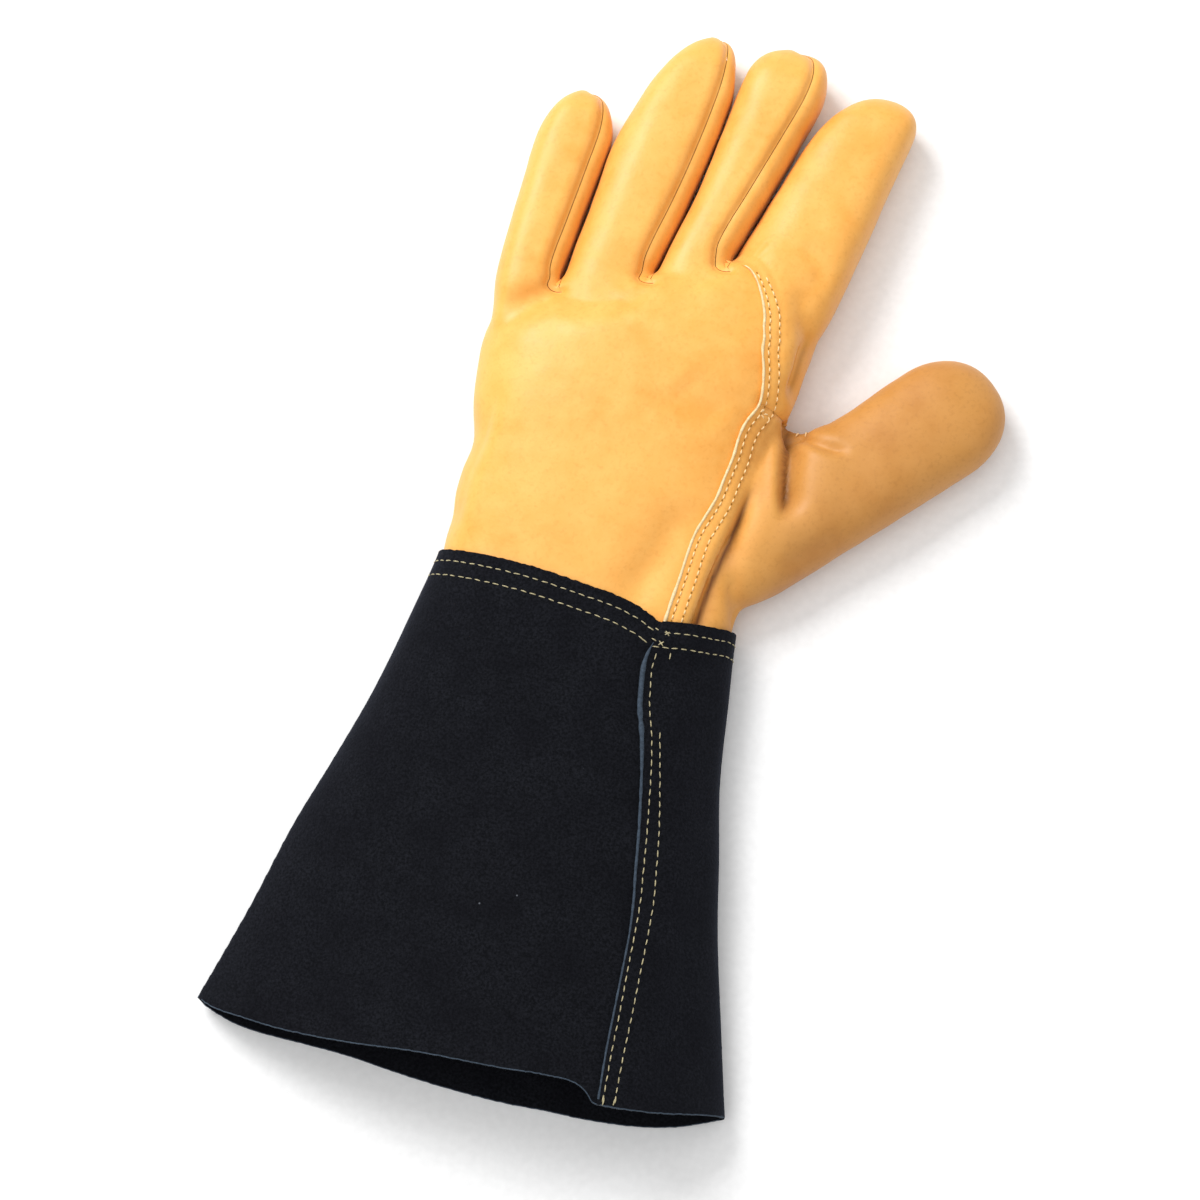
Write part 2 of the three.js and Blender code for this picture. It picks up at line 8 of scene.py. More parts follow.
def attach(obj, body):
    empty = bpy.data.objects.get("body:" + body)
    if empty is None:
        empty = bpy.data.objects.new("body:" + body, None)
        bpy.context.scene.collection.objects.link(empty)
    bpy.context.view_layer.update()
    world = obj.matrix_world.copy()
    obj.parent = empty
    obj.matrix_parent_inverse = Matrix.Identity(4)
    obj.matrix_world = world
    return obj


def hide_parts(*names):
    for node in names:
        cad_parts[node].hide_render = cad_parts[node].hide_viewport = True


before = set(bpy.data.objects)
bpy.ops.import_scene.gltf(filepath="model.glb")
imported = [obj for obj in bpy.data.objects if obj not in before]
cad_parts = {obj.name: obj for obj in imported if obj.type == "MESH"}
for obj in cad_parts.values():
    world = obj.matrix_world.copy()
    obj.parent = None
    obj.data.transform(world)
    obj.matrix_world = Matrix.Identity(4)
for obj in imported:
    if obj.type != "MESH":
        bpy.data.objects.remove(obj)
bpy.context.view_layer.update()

# Lengths are in millimetres in plan, measured from the middle of the cuff's upper edge:
# +Y to the fingertips, +X to the thumb. planOrigin is where that point lies in the frame.
mm = 0.001
planOrigin = np.array([-17.59, -17.38, 0.0])
palmBreadth = 114.0
palmLength = 104.0
cuffLength = 179.0
leatherWall = 1.3
suedeWall = 1.6
pressed = 1.04  # how much further than its lowest level a belly would hang if nothing held it


def clamp(value, low=0.0, high=1.0):
    return np.clip(value, low, high)


def smoothStep(value, low, high):
    t = clamp((np.asarray(value, float) - low) / (high - low))
    return t * t * (3 - 2 * t)


def readTable(rows, key, at):
    # a smooth curve through the rows of each column
    at = np.asarray(at, float)
    keys = np.array([row[key] for row in rows], float)
    i = np.clip(np.searchsorted(keys, at) - 1, 0, len(keys) - 2)
    span = keys[i + 1] - keys[i]
    t = clamp((at - keys[i]) / span)
    read = {}
    for name in rows[0]:
        if name == key:
            continue
        values = np.array([row[name] for row in rows], float)
        slopes = np.empty_like(values)
        slopes[1:-1] = (values[2:] - values[:-2]) / (keys[2:] - keys[:-2])
        slopes[0] = (values[1] - values[0]) / (keys[1] - keys[0])
        slopes[-1] = (values[-1] - values[-2]) / (keys[-1] - keys[-2])
        a, b = values[i], values[i + 1]
        da, db = slopes[i] * span, slopes[i + 1] * span
        read[name] = (
            a * (1 + 2 * t) * (1 - t) ** 2 + da * t * (1 - t) ** 2
            + b * t * t * (3 - 2 * t) + db * t * t * (t - 1)
        )
    return read


def smoothPath(points, step=1.5):
    # a smooth line through a few plan points, with even steps
    points = np.array(points, float)
    reach = np.r_[0, np.cumsum(np.linalg.norm(np.diff(points, axis=0), axis=1))]
    rows = [{"at": s, "x": p[0], "y": p[1]} for s, p in zip(reach, points)]
    fine = readTable(rows, "at", np.linspace(0, reach[-1], 400))
    line = np.c_[fine["x"], fine["y"]]
    run = np.r_[0, np.cumsum(np.linalg.norm(np.diff(line, axis=0), axis=1))]
    even = np.linspace(0, run[-1], max(int(run[-1] / step), 2) + 1)
    return np.c_[np.interp(even, run, line[:, 0]), np.interp(even, run, line[:, 1])]


def shifted(path, by):
    # moved to its right as it is walked
    along = np.gradient(path, axis=0)
    along /= np.linalg.norm(along, axis=1)[:, None]
    by = np.asarray(by, float)
    return path + np.c_[along[:, 1], -along[:, 0]] * (by[:, None] if by.ndim else by)


def sideDistance(points, path):
    # how far to the right of a walked line each plan point lies, and how far along it
    best = np.full(len(points), 1e9)
    signed = np.zeros(len(points))
    reach = np.zeros(len(points))
    start = 0.0
    for a, b in zip(path[:-1], path[1:]):
        edge = b - a
        length = np.linalg.norm(edge)
        t = clamp(((points - a) @ edge) / length ** 2)
        off = points - (a + t[:, None] * edge)
        d = np.linalg.norm(off, axis=1)
        nearer = d < best
        side = np.where(off[:, 0] * edge[1] - off[:, 1] * edge[0] > 0, 1.0, -1.0)
        best = np.where(nearer, d, best)
        signed = np.where(nearer, d * side, signed)
        reach = np.where(nearer, start + t * length, reach)
        start += length
    return signed, reach, start


def readCorners(obj):
    corners = np.empty(len(obj.data.vertices) * 3)
    obj.data.vertices.foreach_get("co", corners)
    return corners.reshape(-1, 3) / mm - planOrigin


def writeCorners(obj, corners):
    obj.data.vertices.foreach_set("co", ((corners + planOrigin) * mm).ravel())
    obj.data.update()


def readNormals(obj):
    normals = np.empty(len(obj.data.vertices) * 3)
    obj.data.vertex_normals.foreach_get("vector", normals)
    return normals.reshape(-1, 3)


def pickOnly(obj):
    bpy.ops.object.select_all(action="DESELECT")
    obj.select_set(True)
    bpy.context.view_layer.objects.active = obj


def applyModifier(obj, kind, **settings):
    pickOnly(obj)
    modifier = obj.modifiers.new(kind.lower(), kind)
    for name, value in settings.items():
        setattr(modifier, name, value)
    bpy.ops.object.modifier_apply(modifier=modifier.name)
    return obj


def duplicate(obj, name):
    copy = obj.copy()
    copy.data = obj.data.copy()
    copy.name = name
    bpy.context.collection.objects.link(copy)
    return copy


def joinAll(pieces, name):
    pickOnly(pieces[0])
    for piece in pieces:
        piece.select_set(True)
    bpy.ops.object.join()
    pieces[0].name = name
    return pieces[0]


def roundForm(name, segments, rings, place):
    # a sphere whose rings are laid out along the form: place gets the turn and the ring's share
    bpy.ops.object.select_all(action="DESELECT")
    bpy.ops.mesh.primitive_uv_sphere_add(segments=segments, ring_count=rings, radius=1)
    obj = bpy.context.object
    obj.name = name
    corners = np.empty(len(obj.data.vertices) * 3)
    obj.data.vertices.foreach_get("co", corners)
    x, y, z = corners.reshape(-1, 3).T
    turn = np.arctan2(y, x)
    share = np.round((0.5 + np.arcsin(clamp(z, -1, 1)) / math.pi) * rings) / rings
    pole = (share < 0.5 / rings) | (share > 1 - 0.5 / rings)
    inner = clamp((share - 1 / rings) / (1 - 2 / rings))
    placed = place(turn, inner)
    placed[pole] = middleOf(placed, inner, pole)
    writeCorners(obj, placed)
    bpy.ops.object.mode_set(mode="EDIT")
    bpy.ops.mesh.select_all(action="SELECT")
    bpy.ops.mesh.normals_make_consistent(inside=False)
    bpy.ops.object.mode_set(mode="OBJECT")
    return obj


def middleOf(placed, inner, pole):
    # each pole closes its end at the middle of the ring next to it
    middles = []
    for i in np.where(pole)[0]:
        ring = ~pole & (np.abs(inner - inner[i]) < 1e-6)
        middles.append(placed[ring].mean(axis=0))
    return np.array(middles)


def sectionPoints(turn, row, form):
    # a dome over the widest level, the waist, and a belly under it, pressed flat where it rests
    s, c = np.sin(turn), np.cos(turn)
    upper = s > 0
    exponent = np.where(upper, form["dome"], form["belly"])
    level = row["low"] + (row["high"] - row["low"]) * form["waist"]
    reach = np.where(upper, row["high"] - level, level - row["low"])
    rise = np.maximum(np.sign(s) * np.abs(s) ** (2 / exponent) * np.where(upper, 1, pressed), -1)
    x = (row["left"] + row["right"]) / 2
    x = x + (row["right"] - row["left"]) / 2 * np.sign(c) * np.abs(c) ** (2 / exponent)
    x = x + row.get("lean", 0) * np.maximum(rise, 0)
    return x, level + reach * rise


def quarterRound(t, start, power=2.0):
    return np.maximum(0, 1 - np.maximum(0, (t - start) / (1 - start)) ** power) ** (1 / power)


def forkRise(x):
    x = np.asarray(x, float) + 0.346 * palmBreadth
    return 0.26 * x + 0.25 / palmBreadth * x ** 2


fingerLines = [
    {"fork": -0.555, "tip": -0.548, "bow": -0.04},
    {"fork": -0.346, "tip": -0.28, "bow": 0.02},
    {"fork": -0.07, "tip": 0.045, "bow": 0.1},
    {"fork": 0.155, "tip": 0.37, "bow": 0.02},
    {"fork": 0.585, "tip": 0.672, "bow": 0.0},
]


def forkAt(n):
    x = fingerLines[n]["fork"] * palmBreadth
    return x, float(palmLength + forkRise(x))


def lineX(n, y):
    line = fingerLines[n]
    start = forkAt(n)[1]
    end = forkAt(3)[1] + 92
    t = (np.asarray(y, float) - start) / (end - start)
    bow = line["bow"] * np.maximum(t, 0) * (1 - t)
    return palmBreadth * (line["fork"] + (line["tip"] - line["fork"]) * t + bow)


# fork is the one that a finger's length is measured from. left and right are where its sides begin to
# round off, as shares of its length.
fingers = [
    {"name": "little", "fork": 1, "length": 79, "tip": -47.3, "left": 0.66, "right": 0.74, "square": 2},
    {"name": "ring", "fork": 2, "length": 101, "tip": -5.7, "left": 0.44, "right": 0.75, "square": 2},
    {"name": "middle", "fork": 3, "length": 92, "tip": 23, "left": 0.8, "right": 0.71, "square": 2.3},
    {"name": "index", "fork": 3, "length": 82, "tip": 59.5, "left": 0.7, "right": 0.86, "square": 2},
]
# Two fingers are modelled twice halfGap apart as far up as they touch, then swelled towards each other.
fingerForm = {
    "depth": 26,
    "waist": 0.42,
    "dome": 2.9,
    "belly": 2.8,
    "halfGap": 2.2,
    "closedHalf": 0.42,
    "openHalf": 1.1,
    "touchingTo": {1: 176, 2: 200, 3: 183},
    "tipRound": 0.84,
    "rows": [
        {"along": -0.36, "low": 0.25, "high": 0.84, "inset": 5},
        {"along": -0.16, "low": 0.1, "high": 1.06, "inset": 1.2},
        {"along": 0, "low": 0.05, "high": 1.1, "inset": 0},
        {"along": 0.25, "low": 0.02, "high": 1.06, "inset": 0},
        {"along": 0.6, "low": 0.0, "high": 0.98, "inset": 0},
        {"along": 0.8, "low": 0.01, "high": 0.93, "inset": 0},
        {"along": 1, "low": 0.05, "high": 0.88, "inset": 0},
    ],
}


def touching(n, y):
    # 1 where two neighbouring fingers touch, 0 beyond it and on the outer sides
    end = fingerForm["touchingTo"].get(n, 0)
    return 1 - smoothStep(y, end - 8, end + 4)


def halfGap(n, y):
    form = fingerForm
    return form["openHalf"] + (form["halfGap"] - form["openHalf"]) * touching(n, y)


def makeFinger(finger, line):
    start = forkAt(finger["fork"])[1]

    def place(turn, share):
        along = -0.36 + 1.36 * np.sin(share * math.pi / 2)
        row = readTable(fingerForm["rows"], "along", along)
        y = start + along * finger["length"]
        depth = fingerForm["depth"]
        left = lineX(line, y) + halfGap(line, y) + row["inset"]
        right = lineX(line + 1, y) - halfGap(line + 1, y) - row["inset"]
        middle = (row["low"] + row["high"]) / 2 * depth * 0.9
        end = quarterRound(along, fingerForm["tipRound"])
        tip = finger["tip"]
        section = {
            "left": tip + (left - tip) * quarterRound(along, finger["left"], finger["square"]),
            "right": tip + (right - tip) * quarterRound(along, finger["right"], finger["square"]),
            "low": middle + (np.maximum(row["low"], 0) * depth - middle) * end,
            "high": middle + (row["high"] * depth - middle) * end,
        }
        x, z = sectionPoints(turn, section, fingerForm)
        return np.c_[x, y, z]

    return roundForm(finger["name"], 72, 64, place)


palmForm = {
    "depth": 38,
    "waist": 0.3,
    "dome": 2.35,
    "belly": 4,
    "rows": [
        {"along": -0.12, "left": -0.47, "right": 0.47, "low": 0.05, "high": 0.81, "rise": 0},
        {"along": 0, "left": -0.47, "right": 0.47, "low": 0.05, "high": 0.81, "rise": 0},
        {"along": 0.2, "left": -0.488, "right": 0.465, "low": 0.02, "high": 0.89, "rise": 0},
        {"along": 0.42, "left": -0.493, "right": 0.45, "low": 0, "high": 0.96, "rise": 0.06},
        {"along": 0.6, "left": -0.517, "right": 0.455, "low": 0, "high": 1, "rise": 0.25},
        {"along": 0.78, "left": -0.535, "right": 0.492, "low": 0, "high": 1, "rise": 0.5},
        {"along": 0.92, "left": -0.528, "right": 0.508, "low": 0.02, "high": 0.9, "rise": 0.85},
        {"along": 1, "left": -0.505, "right": 0.49, "low": 0.14, "high": 0.74, "rise": 1},
    ],
}


def makePalm():
    def place(turn, share):
        along = -0.12 + 1.12 * share
        row = readTable(palmForm["rows"], "along", along)
        section = {
            "left": row["left"] * palmBreadth,
            "right": row["right"] * palmBreadth,
            "low": np.maximum(row["low"], 0) * palmForm["depth"],
            "high": row["high"] * palmForm["depth"],
        }
        x, z = sectionPoints(turn, section, palmForm)
        return np.c_[x, along * palmLength + row["rise"] * forkRise(x), z]

    return roundForm("palm", 128, 90, place)


thumbForm = {
    "rootX": 44.5,
    "rootY": 25.4,
    "angle": 47.3,
    "length": 117,
    "breadth": 42.5,
    "depth": 27,
    "waist": 0.42,
    "dome": 2.2,
    "belly": 2.8,
    "rows": [
        {"along": -0.12, "left": 0.4, "right": 0.4, "low": 0.25, "high": 0.72},
        {"along": 0.05, "left": 0.49, "right": 0.49, "low": 0.06, "high": 0.94},
        {"along": 0.2, "left": 0.6, "right": 0.502, "low": 0.02, "high": 1},
        {"along": 0.35, "left": 0.655, "right": 0.502, "low": 0.02, "high": 1},
        {"along": 0.44, "left": 0.51, "right": 0.5, "low": 0.02, "high": 1},
        {"along": 0.75, "left": 0.53, "right": 0.495, "low": 0.03, "high": 0.93},
        {"along": 1, "left": 0.56, "right": 0.49, "low": 0.06, "high": 0.86},
    ],
}


def makeThumb():
    form = thumbForm
    angle = math.radians(form["angle"])

    def place(turn, share):
        along = -0.12 + 1.12 * np.sin(share * math.pi / 2)
        row = readTable(form["rows"], "along", along)
        end = quarterRound(along, 0.78) ** 0.9
        flat = quarterRound(along, 0.82)
        middle = (row["low"] + row["high"]) / 2 * form["depth"] * 0.92
        section = {
            "left": -row["left"] * form["breadth"] * end,
            "right": row["right"] * form["breadth"] * end,
            "low": middle + (np.maximum(row["low"], 0) * form["depth"] - middle) * flat,
            "high": middle + (row["high"] * form["depth"] - middle) * flat,
        }
        x, z = sectionPoints(turn, section, form)
        y = along * form["length"]
        return np.c_[
            form["rootX"] + x * math.sin(angle) + y * math.cos(angle),
            form["rootY"] - x * math.cos(angle) + y * math.sin(angle),
            z,
        ]

    return roundForm("thumb", 96, 64, place)


def voxelSkin(obj, size):
    # one closed skin over everything that is joined in it
    pickOnly(obj)
    obj.data.remesh_voxel_size = size * mm
    bpy.ops.object.voxel_remesh()
    return obj


def weightedSmooth(obj, weights, rounds, factor=0.5):
    group = obj.vertex_groups.new(name="soften")
    steps = np.round(clamp(weights) * 20).astype(int)
    for step in range(1, 21):
        members = np.where(steps == step)[0]
        if len(members):
            group.add(members.tolist(), step / 20, "REPLACE")
    applyModifier(obj, "SMOOTH", factor=factor, iterations=rounds, vertex_group="soften")
    obj.vertex_groups.clear()


def closeGaps(corners):
    # neighbouring fingers swell towards each other until only a narrow dark gap is left
    push = fingerForm["halfGap"] - fingerForm["closedHalf"]
    for n in (1, 2, 3):
        off = corners[:, 0] - lineX(n, corners[:, 1])
        fork = forkAt(n)[1]
        near = (1 - smoothStep(np.abs(off), 1, 9)) * smoothStep(corners[:, 1], fork - 1.5, fork + 3)
        near = near * touching(n, corners[:, 1])
        corners[:, 0] -= np.sign(off) * push * near
    return corners


madeFingers = [makeFinger(finger, line) for line, finger in enumerate(fingers)]
handForm = joinAll([makePalm(), makeThumb()] + madeFingers, "handForm")
voxelSkin(handForm, 1.0)
corners = readCorners(handForm)
print("hand form", len(corners), "corners")

# The finger roots and the ball of the thumb melt into the back of the hand.
knuckleLine = smoothPath([(-70, 98), (-40, 104), (-8, 117), (19, 128), (40, 126), (70, 126)])
toKnuckles = sideDistance(corners[:, :2], knuckleLine)[0]
knuckleWeight = np.exp(-((toKnuckles - 3) / 15) ** 2) * smoothStep(corners[:, 2], 14, 22)
thumbLine = smoothPath([(54, -6), (50, 20), (48, 50), (50, 72)])
thumbWeight = np.exp(-(sideDistance(corners[:, :2], thumbLine)[0] / 14) ** 2)
handWeight = np.maximum(knuckleWeight, thumbWeight)
applyModifier(handForm, "SMOOTH", factor=0.5, iterations=8)
weightedSmooth(handForm, handWeight, 60)
writeCorners(handForm, closeGaps(readCorners(handForm)))

# Creases and soft hollows of the worn leather: depth at the middle of the line, how far each wall
# reaches to its left and right, and the swelling beside it. starts and ends are the shares of the line
# in which it fades in and out. A sharp one also gets painted shade: its shade darkens the colour in the
# crease, so far to each side.
handFolds = [
    {"depth": 1.8, "left": 3.5, "right": 5, "swell": 0.5, "line": [
        (-62, 88), (-51, 93.6), (-43.6, 97.5), (-37.4, 100.4), (-28.7, 99.4), (-21.6, 101), (-11.7, 105.3),
        (-5, 112),
    ]},
    {"depth": 0.8, "left": 2.6, "right": 2.6, "swell": 0.2, "line": [(20, 122.5), (13.2, 118.9), (6, 112)]},
    {"depth": 0.6, "left": 2.6, "right": 2.6, "swell": 0.2, "line": [
        (-7, 111.5), (-9.4, 104.5), (-16, 98),
    ]},
    {"depth": 0.5, "left": 2.4, "right": 2.4, "swell": 0.1, "line": [(-38, 105), (-39.5, 100), (-44, 95)]},
    {"depth": 0.9, "left": 4, "right": 3, "swell": 0.3, "line": [
        (41, 142), (48.5, 137), (51.5, 132.8), (52, 124),
    ]},
    {"depth": 0.9, "left": 4, "right": 4, "swell": 0.2, "line": [
        (45, 126), (47.2, 119.8), (50, 112.6), (53.4, 103),
    ]},
    {"depth": 3.0, "left": 2.6, "right": 2.2, "swell": 0.5,
     "shade": 0.35, "shadeLeft": 1.2, "shadeRight": 0.8, "line": [
        (53.6, 112), (52.4, 103), (52.2, 97), (51.8, 91), (50.9, 83),
    ]},
    {"depth": 2.2, "left": 6, "right": 7, "swell": 0.5, "line": [
        (28, 40), (24.6, 23), (21.5, 12.7), (17.9, 2.2), (13, -10),
    ]},
    {"depth": 0.8, "left": 2.5, "right": 4, "swell": 0.4, "line": [
        (-50, 68), (-50.4, 58), (-51.4, 44), (-52.6, 30), (-53, 16), (-52, -4),
    ]},
    {"depth": 1.1, "left": 8, "right": 8, "swell": 0.2, "line": [
        (12, 80), (19, 75.6), (25, 71.1), (33, 66),
    ]},
    {"depth": 6.4, "left": 5.6, "right": 1.8, "swell": 0.5, "starts": 0.06,
     "shade": 0.75, "shadeLeft": 2.6, "shadeRight": 0.9, "line": [
        (53, 79), (55.2, 69.5), (57, 60.5), (58.8, 52.5), (60.4, 45), (61.4, 38.5),
    ]},
    {"depth": 4.8, "left": 3.6, "right": 2.0, "swell": 0.7, "ends": 0.04,
     "shade": 0.95, "shadeLeft": 1.1, "shadeRight": 0.8, "line": [
        (49.4, 53), (46.9, 44.5), (45.7, 34.8), (44.6, 27), (43.2, 19.2), (41.8, 9), (40.4, -8),
    ]},
    {"depth": 2.0, "left": 2.0, "right": 2.2, "swell": 0.3, "line": [
        (56, 75.5), (62, 73.4), (67, 71.9), (73, 71), (79, 71.4),
    ]},
    {"depth": 1.3, "left": 3, "right": 2.4, "swell": 0.3, "line": [(47, 20), (50, 13), (54, 4), (55.6, -4)]},
    {"depth": 0.7, "left": 4, "right": 3, "swell": 0.3, "line": [
        (62, 20), (67.7, 26.3), (75, 33), (86, 44),
    ]},
]
fadeShare = 0.3  # of a fold's line, at an end that says nothing else
# Small dents in the rounded side of the hand under the little finger.
sideDents = [
    {"at": (-61, 93), "reach": 7, "depth": 0.9},
    {"at": (-57, 43), "reach": 9, "depth": 1.9},
    {"at": (-56, 15), "reach": 7, "depth": 1.1},
]


def onTop(corners, normals):
    # 1 on the upper side, 0 on the underside
    return smoothStep(normals[:, 2], 0.0, 0.3) * smoothStep(corners[:, 2], 8, 13)


def besideFold(corners, fold):
    # how far to the right of a fold's line each corner lies, and how much of the fold reaches it there
    off, reach, total = sideDistance(corners[:, :2], smoothPath(fold["line"]))
    kept = smoothStep(reach, 0, fold.get("starts", fadeShare) * total)
    return off, kept * smoothStep(total - reach, 0, fold.get("ends", fadeShare) * total)


def pressFold(corners, normals, fold):
    off, kept = besideFold(corners, fold)
    wall = np.where(off > 0, fold["right"], fold["left"])
    shape = -fold["depth"] * np.exp(-(off / wall) ** 2)
    shape = shape + fold["swell"] * np.exp(-((np.abs(off) - 2.4 * wall) / (1.2 * wall)) ** 2)
    return corners + normals * (shape * kept * onTop(corners, normals))[:, None]


for fold in handFolds:
    writeCorners(handForm, pressFold(readCorners(handForm), readNormals(handForm), fold))
corners, normals = readCorners(handForm), readNormals(handForm)
for dent in sideDents:
    off = np.linalg.norm(corners[:, :2] - dent["at"], axis=1)
    pressedIn = dent["depth"] * np.exp(-(off / dent["reach"]) ** 2)
    corners[:, 0] += pressedIn * smoothStep(-normals[:, 0], 0, 0.5)
uneven = np.array([noise.noise(Vector(c) / 26) + 0.4 * noise.noise(Vector(c) / 9) for c in corners])
corners += normals * (0.45 * uneven * smoothStep(corners[:, 2], 3, 9))[:, None]
corners[:, 2] = np.maximum(corners[:, 2], 0.05)  # it rests a hair above the ground
writeCorners(handForm, corners)
print("hand folds")

# The seams of the hand, in plan.
lapEdge = smoothPath([
    (29.6, -14), (30.2, 0), (31, 10), (31.5, 20), (32.3, 27), (34, 33), (36.2, 41), (37.1, 48.7),
    (38.2, 57.5), (38.3, 63.5), (38.7, 67.8), (39.8, 72), (41.4, 75.6), (42.4, 79.1), (42.2, 83),
    (41.5, 87), (40.6, 91), (39.2, 95), (38.3, 98.2), (38, 101.6), (36.8, 105.8), (36.2, 109.3),
    (34.8, 113.2), (32.9, 117.4), (30.6, 121.5), (28.4, 124.5), (25.6, 127), (22.3, 128.4),
], 1.2)
crotchSeam = smoothPath([(44, 79.2), (49, 78.4), (55.3, 78), (60, 84), (80, 115), (114, 156)])
underSeam = smoothPath([(41, -14), (41, 38), (46.7, 64.5), (55.3, 78)])

# The side strips between the fingers: how broad each is on top of the finger to its left, and the levels
# between which it covers the left side of the next finger.
stripForm = {"breadth": {1: 5.0, 2: 5.7, 3: 7.5}, "low": 5, "high": 12.5}


def forkPaths(n):
    # the side strip between two fingers: its seam on top of the one, and the middle of the other
    finger, beyond = fingers[n - 1], fingers[n]
    x, fork = forkAt(n)
    strip = stripForm["breadth"][n]
    end = forkAt(finger["fork"])[1] + finger["length"]
    t = np.array([0.03, 0.08, 0.16, 0.3, 0.45, 0.6, 0.72, 0.8, 0.87, 0.93, 0.97, 1])
    y = fork + t * (end - fork)
    full = lineX(n, y) - strip * smoothStep(t, -0.12, 0.13)
    seamX = finger["tip"] + (full - finger["tip"]) * quarterRound(t, finger["right"])
    seam = [(x + 2.5, fork - 1.6), (x + 0.6, fork - 2), (x - 1.6, fork - 1.7), (x - 3.3, fork - 0.3)]
    seam += list(zip(seamX, y)) + [(finger["tip"], end + 4)]
    space = [(float(lineX(n, v)), float(v)) for v in np.linspace(fork, 232, 12)]
    start = forkAt(beyond["fork"])[1]
    t = np.array([0, 0.3, 0.6, 0.85, 1, 1.1])
    y = start + t * beyond["length"]
    half = (lineX(n, y) + lineX(n + 1, y)) / 2
    middle = half + (beyond["tip"] - half) * smoothStep(t, 0.5, 1)
    return smoothPath(seam, 1.0), np.array(space), np.c_[middle, y], (x, fork)


forks = {n: forkPaths(n) for n in (1, 2, 3)}

# Cutters reach past the glove: the levels under and over it, and a distance beyond its outline.
underAll = -20
overAll = 90
farAway = 600


def prism(name, outline, bottom, top):
    # a plan outline drawn up between two levels
    bpy.ops.object.select_all(action="DESELECT")
    bpy.ops.mesh.primitive_circle_add(vertices=len(outline), radius=1, fill_type="NGON")
    obj = bpy.context.object
    obj.name = name
    writeCorners(obj, np.c_[np.array(outline), np.full(len(outline), float(bottom))])
    bpy.ops.object.mode_set(mode="EDIT")
    bpy.ops.mesh.select_all(action="SELECT")
    bpy.ops.mesh.extrude_region_move(TRANSFORM_OT_translate={"value": (0, 0, (top - bottom) * mm)})
    bpy.ops.mesh.select_all(action="SELECT")
    bpy.ops.mesh.quads_convert_to_tris()
    bpy.ops.mesh.normals_make_consistent(inside=False)
    bpy.ops.object.mode_set(mode="OBJECT")
    return obj


def carve(obj, cutter, operation):
    applyModifier(obj, "BOOLEAN", object=cutter, operation=operation, solver="MANIFOLD")
    bpy.data.objects.remove(cutter)
    return obj


def forkCutter(n, by):
    seam, space, middle, (x, fork) = forks[n]
    border = shifted(seam, by)
    side = np.r_[border, space[::-1][:-1], [[x + 1 - by, fork]]]
    low = fork - 1.8 + by
    centre = middle - [by, 0]
    beyond = np.r_[[[x - 1, low]], space[1:], centre[::-1], [[centre[0, 0], low]]]
    cutters = [
        prism("side", side, stripForm["low"] + by, overAll),
        prism("beyond", beyond, stripForm["low"] + by, stripForm["high"] - by),
    ]
    return joinAll(cutters, "forkCutter")


def rightOf(path):
    return np.r_[path, [[farAway, path[-1, 1]], [farAway, path[0, 1]]]]


def leftOf(path):
    return np.r_[path, [[-farAway, path[-1, 1]], [-farAway, path[0, 1]]]]


seamCrease = {"depth": 1.0, "width": 1.25, "swell": 0.3}
crotchCrease = {"depth": 0.9, "width": 1.5, "swell": 0.3}


def creaseAlong(obj, path, crease):
    # a narrow valley on the upper side, with a slight swelling on both sides of it
    corners, normals = readCorners(obj), readNormals(obj)
    distance = sideDistance(corners[:, :2], path)[0]
    width = crease["width"]
    profile = -crease["depth"] * np.exp(-(distance / width) ** 2)
    profile = profile + crease["swell"] * np.exp(-((np.abs(distance) - 3 * width) / (1.6 * width)) ** 2)
    writeCorners(obj, corners + normals * (profile * onTop(corners, normals))[:, None])


for n in forks:
    creaseAlong(handForm, forks[n][0], seamCrease)
creaseAlong(handForm, crotchSeam[:14], crotchCrease)

# The wall is made twice, below the lap and above it. The upper one is dented along the rows of stitches.
lap = {"width": 8.5, "raise": 1.45, "fadeFrom": 9.5, "fadeTo": 19, "rows": (2.4, 5.9)}
upperForm = duplicate(handForm, "upperForm")
corners, normals = readCorners(upperForm), readNormals(upperForm)
distance, reach, total = sideDistance(corners[:, :2], lapEdge)
lift = np.where(distance > -4, 1 - smoothStep(distance, lap["fadeFrom"], lap["fadeTo"]), 0)
lift = lift * smoothStep(total - reach, 0, 7) * onTop(corners, normals)
for row in lap["rows"]:
    lift = lift - 0.2 * np.exp(-((distance - row) / 0.9) ** 2) * onTop(corners, normals)
writeCorners(upperForm, corners + normals * (lift * lap["raise"])[:, None])

lowerWall = applyModifier(handForm, "SOLIDIFY", thickness=leatherWall * mm, offset=-1)
upperWall = applyModifier(upperForm, "SOLIDIFY", thickness=leatherWall * mm, offset=-1)
print("hand walls")

half = 0.13  # of the open seam between two panels
sideLevel = 9.5  # height of the seam along the outer side of the hand
wristCut = -11.5  # how far the leather runs inside the cuff
upperEnd = np.array([[float(lineX(3, v)), float(v)] for v in (134, 150, 170, 190, 210, 232)])
lapWidth = lap["width"] * (1 - smoothStep(lapEdge[:, 1], 119.5, 129))
lowerBorder = np.r_[shifted(lapEdge, lapWidth), upperEnd]
upperBorder = np.r_[lapEdge, upperEnd]


def thumbCutter(lapBy, by):
    # everything beyond the lap's edge and the seams of the thumb, on top and underneath
    lowerLap = shifted(lapEdge[lapEdge[:, 1] < crotchSeam[0, 1]], lapBy)
    top = rightOf(np.r_[lowerLap, shifted(crotchSeam, by)])
    under = rightOf(np.r_[shifted(underSeam, by), shifted(crotchSeam[9:], by)])
    cutters = [
        prism("top", top, sideLevel - 0.1, overAll),
        prism("under", under, underAll, sideLevel + 0.1),
    ]
    return joinAll(cutters, "thumbCutter")


